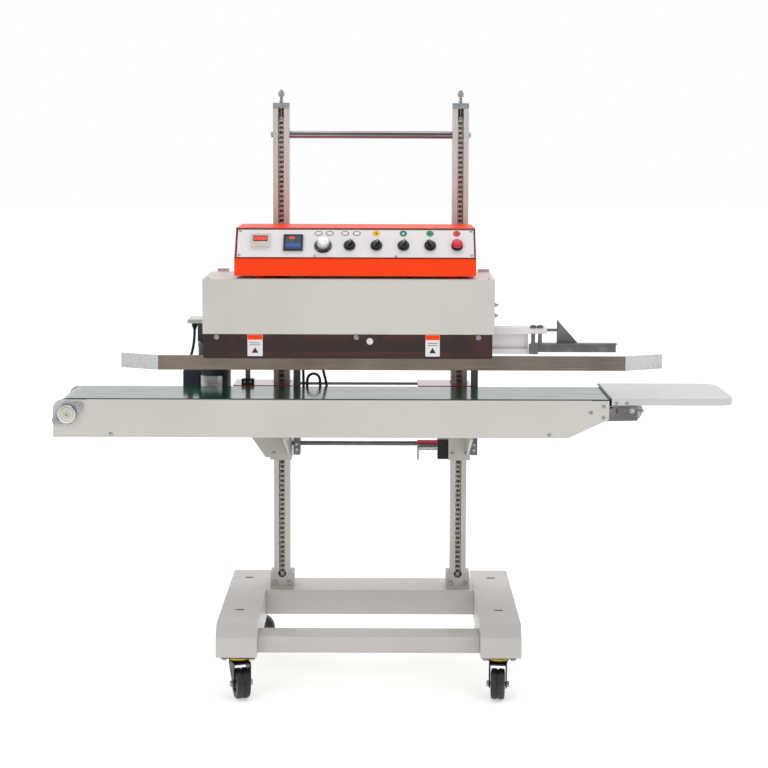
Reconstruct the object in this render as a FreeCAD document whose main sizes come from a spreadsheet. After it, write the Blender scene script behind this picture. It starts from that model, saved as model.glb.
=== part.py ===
import FreeCAD, Part
import math
import os
import re

import Sketcher

# Floor-standing vertical band sealer, millimetres, +Z up, floor at Z = 0.
# X runs along the conveyor, the front faces -Y. mid_x is the plane midway between the columns.

SIZES = {
    # base
    "mid_x": -60, "beam_mid": 323.5, "beam_wide": 100, "beam_half_long": 270,
    "beam_low": 108, "beam_top": 188, "nose_deep": 24, "nose_drop": 30, "sheet": 3,
    "slot_x": 326, "slot_y_rear": 189, "slot_y_front": -126, "slot_long": 24, "slot_wide": 12,
    "rear_beam_front": 60, "rear_beam_back": 188, "rear_beam_low": 123,
    "front_beam_front": -228, "front_beam_back": -155, "front_beam_top": 150,
    # mast
    "column_mid": 232, "column_wide": 42, "column_front": 85, "column_deep": 45, "column_wall": 4,
    "column_top": 1449, "column_slot": 15, "cap_top": 1463, "chain_front": 100, "chain_deep": 8,
    "chain_wide": 14, "chain_low": 226, "chain_top": 1425, "foot_wide": 62, "foot_tall": 40,
    "tie_z": 1381, "tie_radius": 10, "nut_top": 1498,
    # casters
    "caster_x": 320, "caster_y": 224, "wheel_radius": 37.5, "wheel_wide": 34, "trail": 22,
    "axle_radius": 5, "running": 0.05,
    # sealing head
    "cover_left": -409, "cover_right": 306, "cover_front": -190, "cover_back": 48,
    "cover_low": 894, "cover_top": 1030, "plate_thick": 10, "plate_back": 60,
    "guard_front": -187, "guard_low": 834, "guard_thick": 4,
    "seal_y": -100, "band_inner": 30.3, "band_thick": 0.9, "band_wheel": 30, "band_low": 848,
    "band_tall": 16, "wheel_left": -330, "wheel_right": 230, "spindle": 8,
    "box_left": -331, "box_right": 260, "box_front": -185, "box_back": 65, "box_low": 1037,
    "box_lip": 1076, "slope_low": 1080, "slope_long": 89, "panel_tilt": 39, "box_top": 1152,
    "motor_x": -467, "motor_y": 88, "motor_radius": 43,
    # lifts
    "lift_y": 75.5, "lift_radius": 6, "sprocket_radius": 24, "head_lift_z": 962,
    "low_lift_z": 577, "sleeve_half": 28, "sleeve_front": 64, "sleeve_back": 138,
    "sleeve_low": 538, "sleeve_top": 729, "guide_top": 1022,
    # conveyor
    "frame_left": -836, "frame_right": 528, "frame_front": -200, "frame_back": 30,
    "frame_low": 640, "frame_top": 733, "belt_top": 735, "belt_thick": 2, "belt_front": -190,
    "belt_back": 20, "drive_x": -799, "drive_radius": 34, "tail_x": 584, "tail_radius": 24,
    "gap": 0.3, "table_left": 534, "table_right": 836, "table_back": 60, "table_top": 739.5,
    "table_skirt": 17.5,
    "rail_low": 791, "rail_high": 828, "rail_front": -80, "rail_left": -593, "rail_right": 583,
    "rail_end": 110, "rail_bend": 25, "post_y": 49,
    # leads
    "lead_radius": 3.5,
}

doc = FreeCAD.newDocument("band_sealer")
sheet = doc.addObject("Spreadsheet::Sheet", "Sizes")
for row, (name, value) in enumerate(SIZES.items(), start=1):
    sheet.set(f"A{row}", name)
    sheet.set(f"B{row}", str(value))
    sheet.setAlias(f"B{row}", name)
doc.recompute()

WORD = re.compile(r"[a-z_]+")
AXIS_ROTATION = {
    "X": FreeCAD.Rotation(FreeCAD.Vector(0, 1, 0), 90),
    "Y": FreeCAD.Rotation(FreeCAD.Vector(1, 0, 0), -90),
    "Z": FreeCAD.Rotation(),
}
nodes = []


def size(name):
    """A driving dimension's value in the sheet."""
    return float(sheet.get(name))


def formula(text):
    """A formula over the sheet's names, as an expression that FreeCAD can bind."""
    return WORD.sub(lambda found: ("Sizes." if found.group() in SIZES else "") + found.group(), str(text))


def value(text):
    """The present value of a formula over the sheet's names."""
    found = sheet.evalExpression(formula(text))
    return float(getattr(found, "Value", found))


def put(thing, x, y, z):
    """Binds where an object stands."""
    for axis, text in zip("xyz", (x, y, z)):
        thing.setExpression(f"Placement.Base.{axis}", formula(text))
    return thing


def block(x, y, z, name="block"):
    """A box from three pairs of formulas: its low and high side along each axis."""
    thing = doc.addObject("Part::Box", name)
    for prop, (low, high) in zip(("Length", "Width", "Height"), (x, y, z)):
        thing.setExpression(prop, formula(f"({high}) - ({low})"))
    return put(thing, x[0], y[0], z[0])


def rod(axis, centre, span, radius, name="rod"):
    """A cylinder along an axis: its centre on the other two axes, and its two ends."""
    thing = doc.addObject("Part::Cylinder", name)
    thing.setExpression("Radius", formula(radius))
    thing.setExpression("Height", formula(f"({span[1]}) - ({span[0]})"))
    thing.Placement = FreeCAD.Placement(FreeCAD.Vector(), AXIS_ROTATION[axis])
    start = list(centre)
    start.insert("XYZ".index(axis), span[0])
    return put(thing, *start)


def group(name, *things):
    """Separate solids that are alike or belong together, in one node."""
    thing = doc.addObject("Part::Compound", name)
    thing.Links = list(things)
    return thing


def join(name, *things):
    """One solid from overlapping or touching pieces."""
    thing = doc.addObject("Part::MultiFuse", name)
    thing.Shapes = list(things)
    thing.Refine = True
    return thing


def cut(name, base, *tools):
    """A solid with other shapes taken out of it."""
    thing = doc.addObject("Part::Cut", name)
    thing.Base = base
    thing.Tool = tools[0] if len(tools) == 1 else join(name + "_tools", *tools)
    return thing


def prism(name, plane, outline, start, long):
    """A PartDesign pad of a straight-sided outline, from start along the plane's third axis."""
    body = doc.addObject("PartDesign::Body", name)
    sketch = body.newObject("Sketcher::SketchObject", name + "_outline")
    support = next(f for f in body.Origin.OriginFeatures if f.Role == plane + "_Plane")
    sketch.AttachmentSupport = [(support, "")]
    sketch.MapMode = "FlatFace"
    spots = [FreeCAD.Vector(value(u), value(v), 0) for u, v in outline]
    count = len(spots)
    for index in range(count):
        sketch.addGeometry(Part.LineSegment(spots[index], spots[(index + 1) % count]), False)
    for index in range(count):
        sketch.addConstraint(Sketcher.Constraint("Coincident", index, 2, (index + 1) % count, 1))
    for index, (u, v) in enumerate(outline):
        for kind, text, now in (("DistanceX", u, spots[index].x), ("DistanceY", v, spots[index].y)):
            number = sketch.addConstraint(Sketcher.Constraint(kind, index, 1, now))
            sketch.setExpression(f"Constraints[{number}]", formula(text))
    pad = body.newObject("PartDesign::Pad", name + "_pad")
    pad.Profile = sketch
    pad.setExpression("Length", formula(long))
    # a pad on the XZ plane grows towards -Y, so that body stands at its far side
    axis = {"XY": "z", "XZ": "y", "YZ": "x"}[plane]
    begin = f"({start}) + ({long})" if plane == "XZ" else start
    body.setExpression(f"Placement.Base.{axis}", formula(begin))
    doc.recompute()
    return body


def round_edges(name, thing, radius, wanted):
    """Rounds the straight edges of a shape that a test on their middle point and direction picks."""
    doc.recompute()
    fillet = doc.addObject("Part::Fillet", name)
    fillet.Base = thing
    picked = []
    for number, edge in enumerate(thing.Shape.Edges, start=1):
        middle = edge.CenterOfMass
        direction = (edge.Vertexes[-1].Point - edge.Vertexes[0].Point).normalize()
        if edge.Curve.TypeId == "Part::GeomLine" and wanted(middle, direction):
            picked.append((number, value(radius), value(radius)))
    fillet.Edges = picked
    return fillet


def node(label, thing):
    """Gives a finished sub-part the label that names its file."""
    thing.Label = label
    nodes.append(thing)
    return thing


def sides(maker):
    """The same piece for the left and the right side of the machine."""
    return [maker(side) for side in (-1, 1)]


# ---------------------------------------------------------------- base

def side_beam(side):
    middle = f"(mid_x + {side} * beam_mid)"
    nose = [
        ("-beam_half_long", "beam_low"), ("beam_half_long", "beam_low"),
        ("beam_half_long", "beam_top"),
        ("nose_deep - beam_half_long", "beam_top"), ("-beam_half_long", "beam_top - nose_drop"),
    ]
    hollow = [
        ("sheet - beam_half_long", "beam_low + sheet"), ("beam_half_long - sheet", "beam_low + sheet"),
        ("beam_half_long - sheet", "beam_top - sheet"), ("nose_deep - beam_half_long + 1", "beam_top - sheet"),
        ("sheet - beam_half_long", "beam_top - nose_drop - 1"),
    ]
    outside = prism("beam_outside", "YZ", nose, f"{middle} - beam_wide / 2", "beam_wide")
    inside = prism("beam_inside", "YZ", hollow, f"{middle} - beam_wide / 2 + sheet", "beam_wide - 2 * sheet")
    slots = []
    for y in ("slot_y_rear", "slot_y_front"):
        centre = f"mid_x + {side} * slot_x"
        reach = "(slot_long - slot_wide) / 2"
        tall = ("beam_top - 2 * sheet", "beam_top + 1")
        slots.append(block((f"{centre} - {reach}", f"{centre} + {reach}"),
                           (f"{y} - slot_wide / 2", f"{y} + slot_wide / 2"), tall))
        slots.append(rod("Z", (f"{centre} - {reach}", y), tall, "slot_wide / 2"))
        slots.append(rod("Z", (f"{centre} + {reach}", y), tall, "slot_wide / 2"))
    return cut("side_beam", outside, inside, *slots)


def beam_between(name, front, back, low, high):
    inner = "beam_mid - beam_wide / 2"
    across = (f"mid_x - ({inner})", f"mid_x + {inner}")
    outside = block(across, (front, back), (low, high))
    inside = block((f"{across[0]} - 1", f"{across[1]} + 1"), (f"{front} + sheet", f"{back} - sheet"),
                   (f"{low} + sheet", f"{high} - sheet"))
    return cut(name, outside, inside)


def column(side):
    middle = f"mid_x + {side} * column_mid"
    half = "column_wide / 2"
    tall = ("beam_top", "column_top")
    back = "column_front + column_deep"
    wall = ("column_front - 1", "column_front + column_wall + 1")
    outside = block((f"{middle} - {half}", f"{middle} + {half}"), ("column_front", back), tall)
    inside = block((f"{middle} - {half} + column_wall", f"{middle} + {half} - column_wall"),
                   ("column_front + column_wall", f"{back} - column_wall"),
                   ("beam_top - 1", "column_top + 1"))
    slot = block((f"{middle} - column_slot / 2", f"{middle} + column_slot / 2"), wall,
                 ("chain_low", "column_top + 1"))
    hole = rod("Y", (middle, "chain_low"), wall, 10.5)
    through = (f"{middle} - {half} - 1", middle) if side > 0 else (middle, f"{middle} + {half} + 1")
    seat = rod("X", ("column_front + column_deep / 2", "tie_z"), through, "tie_radius")
    return cut("column", outside, inside, slot, hole, seat)


def column_foot(side):
    middle = f"mid_x + {side} * column_mid"
    across = (f"{middle} - foot_wide / 2", f"{middle} + foot_wide / 2")
    half = "column_wide / 2"
    top = "beam_top + foot_tall"
    ring = block(across, ("column_front - 1.5", "column_front + column_deep + 12"), ("beam_top", top))
    lip = block(across, ("column_front - 8", "column_front"), ("beam_top", "beam_top + 6"))
    room = block((f"{middle} - {half}", f"{middle} + {half}"),
                 ("column_front", "column_front + column_deep"), ("beam_top - 1", f"{top} + 1"))
    hole = rod("Y", (middle, "chain_low"), ("column_front - 9", "column_front + 1"), 10.5)
    return cut("column_foot", join("foot_body", ring, lip), room, hole)


def column_cap(side):
    middle = f"mid_x + {side} * column_mid"
    plate = block((f"{middle} - 21", f"{middle} + 21"), ("column_front - 2", "column_front + column_deep + 2"),
                  ("column_top", "cap_top"))
    hole = rod("Z", (middle, "chain_front + chain_deep / 2"), ("column_top - 1", "cap_top + 1"), 4.5)
    return cut("column_cap", plate, hole)


def tension_screw(side):
    middle = f"mid_x + {side} * column_mid"
    spot = (middle, "chain_front + chain_deep / 2")
    stem = rod("Z", spot, ("chain_top", "nut_top - 8"), 4)
    nut = rod("Z", spot, ("nut_top - 19", "nut_top - 7"), 8)
    dome = rod("Z", spot, ("nut_top - 8", "nut_top"), 5.5)
    washer = rod("Z", spot, ("cap_top", "cap_top + 2"), 7)
    return join("tension_screw", stem, nut, dome, washer)


def foot_screws(side):
    heads = []
    for offset in (-19, 19):
        spot = (f"mid_x + {side} * column_mid + {offset}", "beam_top + 15")
        heads.append(rod("Y", spot, ("column_front - 6.5", "column_front - 1.5"), 5.5))
    return heads


def lift_chain(side):
    middle = f"mid_x + {side} * column_mid"
    return block((f"{middle} - chain_wide / 2", f"{middle} + chain_wide / 2"),
                 ("chain_front", "chain_front + chain_deep"), ("chain_low - 6", "chain_top"))


node("side_beams", group("side_beams", *sides(side_beam)))
node("cross_beams", group("cross_beams",
                          beam_between("rear_beam", "rear_beam_front", "rear_beam_back", "rear_beam_low",
                                       "beam_top"),
                          beam_between("front_beam", "front_beam_front", "front_beam_back", "beam_low",
                                       "front_beam_top")))
node("columns", group("columns", *sides(column)))
node("column_ends", group("column_ends", *sides(column_foot), *sides(column_cap)))
node("column_screws", group("column_screws", *sides(tension_screw), *foot_screws(-1), *foot_screws(1)))
node("lift_chains", group("lift_chains", *sides(lift_chain)))
node("tie_rod", rod("X", ("column_front + column_deep / 2", "tie_z"),
                    ("mid_x - column_mid + column_wide / 2 - column_wall",
                     "mid_x + column_mid - column_wide / 2 + column_wall"), "tie_radius", "tie_rod"))


# ---------------------------------------------------------------- casters

# the way each caster has swivelled, in degrees, as the photographed machine stands
CORNERS = {
    "front_left": (-1, -1, 18), "front_right": (1, -1, -6), "rear_left": (-1, 1, -90), "rear_right": (1, 1, 18),
}


def swivelled(thing, across, along, angle):
    """Turns a caster's moving piece about its upright axis."""
    x, y, turn = f"(mid_x + {across} * caster_x)", f"({along} * caster_y)", f"({angle} * 1deg)"
    thing.Placement = FreeCAD.Placement(FreeCAD.Vector(), FreeCAD.Rotation(angle, 0, 0))
    return put(thing, f"{x} - {x} * cos{turn} + {y} * sin{turn}",
               f"{y} - {x} * sin{turn} - {y} * cos{turn}", "0")


def caster_plate(across, along):
    x, y = f"mid_x + {across} * caster_x", f"{along} * caster_y"
    plate = block((f"{x} - 42", f"{x} + 42"), (f"{y} - 40", f"{y} + 40"), ("beam_low - 4", "beam_low"))
    ring = rod("Z", (x, y), ("beam_low - 13", "beam_low - 4"), 26)
    bolts = [rod("Z", (f"{x} + {i} * 34", f"{y} + {j} * 32"), ("beam_low - 9", "beam_low - 4"), 6)
             for i in (-1, 1) for j in (-1, 1)]
    return join("caster_plate", plate, ring, *bolts)


def caster_fork(across, along):
    x, y = f"mid_x + {across} * caster_x", f"{along} * caster_y"
    axle_y, half = f"{y} + {along} * trail", "wheel_wide / 2 + 2"
    crown = rod("Z", (x, y), ("beam_low - 20", "beam_low - 13.3"), 25)
    ends = (f"{y} - {along} * 18", f"{axle_y} + {along} * 14")
    bridge = block((f"{x} - ({half}) - 3", f"{x} + {half} + 3"), ends if along > 0 else ends[::-1],
                   ("beam_low - 22", "beam_low - 17"))
    cheeks = []
    for side in (-1, 1):
        outline = [(ends[0], "beam_low - 17"), (f"{axle_y} - {along} * 12", "wheel_radius - 11"),
                   (f"{axle_y} + {along} * 12", "wheel_radius - 11"), (ends[1], "beam_low - 17")]
        start = f"{x} + {side} * ({half} + 1.5) - 1.5"
        cheeks.append(prism("cheek", "YZ", outline, start, "3"))
    axle = rod("X", (axle_y, "wheel_radius"), (f"{x} - ({half}) - 8", f"{x} + {half} + 8"), "axle_radius")
    nuts = [rod("X", (axle_y, "wheel_radius"), (f"{x} + {half} + 3", f"{x} + {half} + 9"), 8),
            rod("X", (axle_y, "wheel_radius"), (f"{x} - ({half}) - 9", f"{x} - ({half}) - 3"), 8)]
    return join("caster_fork", crown, bridge, *cheeks, axle, *nuts)


def caster_wheel(across, along):
    x, axle_y = f"mid_x + {across} * caster_x", f"{along} * (caster_y + trail)"
    ends = (f"{x} - wheel_wide / 2", f"{x} + wheel_wide / 2")
    tyre = rod("X", (axle_y, "wheel_radius"), ends, "wheel_radius")
    centre = (axle_y, "wheel_radius")
    groove = cut("groove", rod("X", centre, (f"{x} - 1.5", f"{x} + 1.5"), "wheel_radius + 1"),
                 rod("X", centre, (f"{x} - 2", f"{x} + 2"), "wheel_radius - 2.5"))
    bore = rod("X", centre, (f"{x} - wheel_wide", f"{x} + wheel_wide"), "axle_radius + running")
    return cut("caster_wheel", tyre, groove, bore)


node("caster_plates", group("caster_plates", *[caster_plate(*spot[:2]) for spot in CORNERS.values()]))
for corner, spot in CORNERS.items():
    node(f"caster_fork_{corner}", swivelled(caster_fork(*spot[:2]), *spot))
    node(f"caster_wheel_{corner}", swivelled(caster_wheel(*spot[:2]), *spot))


# ---------------------------------------------------------------- sealing head structure

def head_cover():
    across = ("mid_x + cover_left", "mid_x + cover_right")
    outside = block(across, ("cover_front", "cover_back"), ("cover_low", "cover_top"))
    shell = round_edges("cover_rounded", outside, "4", lambda middle, way: abs(way.y) < 0.5)
    inside = block((f"{across[0]} + 2", f"{across[1]} - 2"), ("cover_front + 2", "cover_back - 2"),
                   ("cover_low - 1", "cover_top - 2"))
    rear_door = block((f"{across[0]} + 1", f"{across[1]} - 1"), ("cover_back - 3", "cover_back + 1"),
                      ("cover_low - 1", "cover_low + 26"))
    infeed_notch = block(("mid_x + cover_right - 3", "mid_x + cover_right + 1"), ("seal_y - 36", "seal_y + 36"),
                         ("cover_low - 1", "cover_low + 13"))
    return cut("head_cover", shell, inside, rear_door, infeed_notch)


def head_plate():
    tall = ("cover_low", "cover_low + plate_thick")
    across = ("mid_x + cover_left + 2.5", "mid_x + cover_right - 12")
    main = block(across, ("cover_front + 2.5", "plate_back"), tall)
    ear = block(("motor_x - 66", "mid_x + cover_left + 60"), ("cover_back + 1", "motor_y + 48"), tall)
    spindles = [rod("Z", (x, f"seal_y + {row} * (band_inner + band_thick + 0.5)"),
                    ("cover_low - 1", "cover_low + plate_thick + 1"), "spindle + running")
                for x in ("mid_x + wheel_left", "mid_x + wheel_right") for row in (-1, 1)]
    return cut("head_plate", join("plate_body", main, ear), *spindles)


def lift_sleeve(side, low, high, shaft_z):
    """A hollow carriage round a column, bored for its lift shaft and open in front of the chain."""
    middle = f"mid_x + {side} * column_mid"
    half = "column_wide / 2 + 0.5"
    across = (f"{middle} - sleeve_half", f"{middle} + sleeve_half")
    outside = block(across, ("sleeve_front", "sleeve_back"), (low, high))
    room = block((f"{middle} - ({half})", f"{middle} + {half}"),
                 ("column_front - 0.5", "column_front + column_deep + 0.5"), (f"{low} - 1", f"{high} + 1"))
    window = block((f"{middle} - 5", f"{middle} + 5"), ("sleeve_front - 1", "column_front"),
                   (f"{shaft_z} - 27", f"{shaft_z} + 27"))
    bore = rod("X", ("lift_y", shaft_z), (f"{middle} - sleeve_half - 1", f"{middle} + sleeve_half + 1"),
               "lift_radius + running")
    return cut("lift_sleeve", outside, room, window, bore)


def head_guide(side):
    middle = f"mid_x + {side} * column_mid"
    sleeve = lift_sleeve(side, "cover_low", "guide_top", "head_lift_z")
    foot = block((f"{middle} - sleeve_half", f"{middle} + sleeve_half"), ("0", "sleeve_front"),
                 ("cover_low + plate_thick", "cover_low + plate_thick + 10"))
    return join("head_guide", sleeve, foot)


def lift_shaft(name, shaft_z):
    spot = ("lift_y", shaft_z)
    shaft = rod("X", spot, ("mid_x - column_mid - 34", "mid_x + column_mid + 34"), "lift_radius")
    sprockets = [rod("X", spot, (f"mid_x + {side} * column_mid - 3", f"mid_x + {side} * column_mid + 3"),
                     "sprocket_radius") for side in (-1, 1)]
    return join(name, shaft, *sprockets)


def guard():
    across = ("mid_x + cover_left + 1", "mid_x + cover_right - 5")
    pane = block(across, ("guard_front", "guard_front + guard_thick"), ("guard_low", "cover_low"))
    return round_edges("guard", pane, "6",
                       lambda middle, way: abs(way.y) > 0.5 and middle.z < value("cover_low - 30"))


def guard_screws():
    screws = []
    for x in (-375, -32.4, 266.7):
        washer = rod("Y", (f"mid_x + {x}", "cover_low - 7"), ("guard_front - 1.5", "guard_front"), 6.5)
        head = rod("Y", (f"mid_x + {x}", "cover_low - 7"), ("guard_front - 6", "guard_front - 1.5"), 5)
        screws.append(join("guard_screw", washer, head))
    screws.append(rod("Y", ("mid_x + 0.7", "cover_low - 16"), ("guard_front - 9", "guard_front"), 9))
    return screws


node("head_cover", head_cover())
node("head_plate", head_plate())
node("head_guides", group("head_guides", *sides(head_guide)))
node("guard", guard())
node("head_lift_shaft", lift_shaft("head_lift_shaft", "head_lift_z"))


# ---------------------------------------------------------------- sealing line

def stadium(name, left, right, y, radius, low, tall):
    """A flat-sided loop's solid: two round ends joined by a bar."""
    ends = (low, f"{low} + {tall}")
    bar = block((left, right), (f"{y} - ({radius})", f"{y} + {radius}"), ends)
    return join(name, bar, rod("Z", (left, y), ends, radius), rod("Z", (right, y), ends, radius))


def sealing_band(row):
    y = f"seal_y + {row} * (band_inner + band_thick + 0.5)"
    ends = ("mid_x + wheel_left", "mid_x + wheel_right")
    outer = stadium("band_outer", *ends, y, "band_inner + band_thick", "band_low", "band_tall")
    inner = stadium("band_hollow", *ends, y, "band_inner", "band_low - 1", "band_tall + 2")
    return cut("sealing_band", outer, inner)


def sealing_block(row, left, right):
    """A heating or cooling block behind a band's inner run, hung from the head plate on two posts."""
    near = "band_thick + 0.5 + gap"
    y = (f"seal_y + {near}", f"seal_y + {near} + 20")
    if row < 0:
        y = (f"seal_y - ({near}) - 20", f"seal_y - ({near})")
    bar = block((f"mid_x + {left}", f"mid_x + {right}"), y, ("band_low", "band_low + band_tall"))
    posts = [rod("Z", (f"mid_x + {x}", f"({y[0]} + {y[1]}) / 2"), ("band_low + 4", "cover_low"), 5)
             for x in (left + 15, right - 15)]
    return join("sealing_block", bar, *posts)


def band_wheel(name, place, row, driven):
    spot = (f"mid_x + {place}", f"seal_y + {row} * (band_inner + band_thick + 0.5)")
    wheel = rod("Z", spot, ("band_low - 1", "band_low + band_tall + 1"), "band_wheel")
    shaft = rod("Z", spot, ("band_low - 5", "cover_low + plate_thick + 30"), "spindle")
    collar = rod("Z", spot, ("cover_low + plate_thick + 0.5", "cover_low + plate_thick + 8"), 14)
    parts = [wheel, shaft, collar]
    if driven:
        parts.append(rod("Z", spot, ("cover_low + plate_thick + 12", "cover_low + plate_thick + 24"),
                         "band_inner + band_thick + 0.2"))
    return join(name, *parts)


node("sealing_bands", group("sealing_bands", sealing_band(-1), sealing_band(1)))
node("sealing_blocks", group("sealing_blocks", *[sealing_block(row, *span) for row in (-1, 1)
                                                 for span in ((-190, -30), (10, 150))]))
for name, place, driven in (("drive", "wheel_left", True), ("idler", "wheel_right", False)):
    for row_name, row in (("front", -1), ("rear", 1)):
        node(f"{name}_wheel_{row_name}", band_wheel(f"{name}_wheel", place, row, driven))


# ---------------------------------------------------------------- control box

def control_box():
    rise = "slope_long * cos(panel_tilt * 1deg)"
    run = "slope_long * sin(panel_tilt * 1deg)"
    outline = [
        ("box_front", "box_low"), ("box_back", "box_low"), ("box_back", "box_top"),
        (f"box_front + 2 + {run}", "box_top"), (f"box_front + 2 + {run}", f"slope_low + {rise}"),
        ("box_front + 2", "slope_low"), ("box_front", "slope_low - 3"),
    ]
    shell = prism("box_shell", "YZ", outline, "mid_x + box_left", "box_right - box_left")
    hollow = [
        ("box_front + 3", "box_low + 3"), ("box_back - 3", "box_low + 3"), ("box_back - 3", "box_top - 3"),
        (f"box_front + 8 + {run}", "box_top - 3"), ("box_front + 8", "slope_low - 2"),
        ("box_front + 3", "slope_low - 8"),
    ]
    room = prism("box_room", "YZ", hollow, "mid_x + box_left + 3", "box_right - box_left - 6")
    rails = [block((f"mid_x + {x} - 12", f"mid_x + {x} + 12"), ("box_front + 25", "box_back - 40"),
                   ("cover_top", "box_low")) for x in ("box_left + 60", "box_right - 60")]
    return join("control_box", cut("box_hollow", shell, room), *rails)


TILT = FreeCAD.Rotation(FreeCAD.Vector(1, 0, 0), 90 - size("panel_tilt"))


def on_panel(thing, x, up, out):
    """Stands an object on the sloped panel: x from the middle plane, up along the slope, out from it."""
    thing.Placement = FreeCAD.Placement(FreeCAD.Vector(), TILT)
    lean = "(panel_tilt * 1deg)"
    return put(thing, f"mid_x + {x}",
               f"box_front + 2 + ({up}) * sin{lean} - ({out}) * cos{lean}",
               f"slope_low + ({up}) * cos{lean} + ({out}) * sin{lean}")


def panel_block(left, right, low, high, base, top):
    thing = doc.addObject("Part::Box", "panel_block")
    thing.Length, thing.Width, thing.Height = right - left, high - low, top - base
    return on_panel(thing, left, low, base)


def panel_rod(x, up, base, top, radius):
    thing = doc.addObject("Part::Cylinder", "panel_rod")
    thing.Radius, thing.Height = radius, top - base
    return on_panel(thing, x, up, base)


PANEL_THICK = 2.5
CONTROL_ROW = 36
SWITCH_X = (-49.9, 15.8, 82.2, 147.8)
SWITCH_ANGLE = (-42, -42, -34, 38)
BUTTON_X = 213.7
DIAL_X = -114.7


def control_panel():
    plate = panel_block(-325, 255, 1.5, 87.5, 0, PANEL_THICK)
    holes = [panel_rod(x, CONTROL_ROW, -1, PANEL_THICK + 1, 11) for x in (*SWITCH_X, BUTTON_X)]
    holes.append(panel_rod(DIAL_X, CONTROL_ROW, -1, PANEL_THICK + 1, 3.2))
    return cut("control_panel", plate, *holes)


def panel_screws():
    spots = [(x, up) for x in (-319, 249) for up in (8, 81)] + [(-134, 5), (64, 5)]
    return [panel_rod(x, up, PANEL_THICK, PANEL_THICK + 2, 3.5) for x, up in spots]


def switch_bezel(x):
    ring = panel_rod(x, CONTROL_ROW, PANEL_THICK, PANEL_THICK + 5, 14.5)
    return cut("switch_bezel", ring, panel_rod(x, CONTROL_ROW, 0, 12, 11.6))


def selector_knob(x, angle):
    """A turn knob whose grip bar points to one side of straight up."""
    turning = panel_rod(x, CONTROL_ROW, PANEL_THICK + 1, PANEL_THICK + 9, 11)
    half_wide, half_long = 3.5, 10.5
    lean = math.radians(angle)
    grip = doc.addObject("Part::Box", "grip")
    grip.Length, grip.Width, grip.Height = 2 * half_wide, 2 * half_long, 11
    on_panel(grip, x - half_wide * math.cos(lean) + half_long * math.sin(lean),
             CONTROL_ROW - half_wide * math.sin(lean) - half_long * math.cos(lean), PANEL_THICK + 8)
    base = grip.Placement.Base
    grip.Placement = FreeCAD.Placement(base, TILT.multiply(FreeCAD.Rotation(angle, 0, 0)))
    return join("selector_knob", turning, grip)


def speed_dial():
    skirt = panel_rod(DIAL_X, CONTROL_ROW, PANEL_THICK + 0.5, PANEL_THICK + 4, 22)
    cap = panel_rod(DIAL_X, CONTROL_ROW, PANEL_THICK + 4, PANEL_THICK + 19, 14)
    stem = panel_rod(DIAL_X, CONTROL_ROW, 0.2, PANEL_THICK + 1, 3.1)
    return join("speed_dial", skirt, cap, stem)


def stop_button():
    head = panel_rod(BUTTON_X, CONTROL_ROW, PANEL_THICK + 9.2, PANEL_THICK + 15, 13.5)
    stem = panel_rod(BUTTON_X, CONTROL_ROW, PANEL_THICK + 2, PANEL_THICK + 10, 10.5)
    return join("stop_button", head, stem)


node("control_box", control_box())
node("control_panel", control_panel())
node("counter", join("counter", panel_block(-292, -245, 31, 68, PANEL_THICK, PANEL_THICK + 6),
                     panel_block(-288, -249, 35, 64, PANEL_THICK, PANEL_THICK + 8)))
node("temperature_controller", join("temperature_controller",
                                    panel_block(-212, -164, 20.5, 66.5, PANEL_THICK, PANEL_THICK + 6),
                                    panel_block(-208.5, -167.5, 24, 63, PANEL_THICK, PANEL_THICK + 8)))
node("switch_bezels", group("switch_bezels", *[switch_bezel(x) for x in (*SWITCH_X, BUTTON_X)]))
node("speed_dial", speed_dial())
for number, spot in enumerate(zip(SWITCH_X, SWITCH_ANGLE), start=1):
    node(f"selector_knob_{number}", selector_knob(*spot))
node("stop_button", stop_button())


# ---------------------------------------------------------------- head motor and infeed guide

def drive_motor():
    spot = ("motor_x", "motor_y")
    case = rod("Z", spot, ("cover_low - 194", "cover_low - 45"), "motor_radius")
    gearhead = block(("motor_x - 40", "motor_x + 40"), ("motor_y - 40", "motor_y + 40"),
                     ("cover_low - 46", "cover_low"))
    terminal = block(("motor_x - 81", "motor_x - 38"), ("motor_y - 18", "motor_y + 18"),
                     ("cover_low - 194", "cover_low - 124"))
    return join("drive_motor", case, gearhead, terminal)


def infeed_rail(row):
    near = f"seal_y + {row} * 4"
    far = f"seal_y + {row} * 26"
    y = (near, far) if row > 0 else (far, near)
    plate, flange = (near, f"seal_y + {row} * 7"), (near, f"seal_y + {row} * 16")
    if row < 0:
        plate, flange = plate[::-1], flange[::-1]
    start, end = "mid_x + cover_right - 12", "mid_x + 395"
    upper = block((start, "mid_x + 440"), y, ("cover_low - 5", "cover_low + 10"))
    web = block((start, end), plate, ("cover_low - 46", "cover_low - 4"))
    lower = block((start, end), flange, ("cover_low - 56", "cover_low - 43"))
    return join("infeed_rail", upper, web, lower)


def infeed_bracket():
    front = "seal_y - 7.5"
    across = ("mid_x + 401", "mid_x + 614")
    bar = block(across, (f"{front} - 4", front), ("cover_low - 52", "cover_low - 28"))
    lip = block(across, (f"{front} - 24", front), ("cover_low - 31", "cover_low - 28"))
    foot, peak = "cover_low - 29", "cover_low + 30"
    corners = [("mid_x + 466", foot), ("mid_x + 519", foot), ("mid_x + 466", peak)]
    gusset = prism("gusset", "XZ", corners, f"{front} - 4", "4")
    arm = block(("mid_x + 440.5", "mid_x + 467"), (f"{front} - 4", front), ("cover_low", "cover_low + 7"))
    block_end = block(("mid_x + 396", "mid_x + 418"), (f"{front} - 22", f"{front} - 4"),
                      ("cover_low - 55", "cover_low - 31"))
    return join("infeed_bracket", bar, lip, gusset, arm, block_end)


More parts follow.
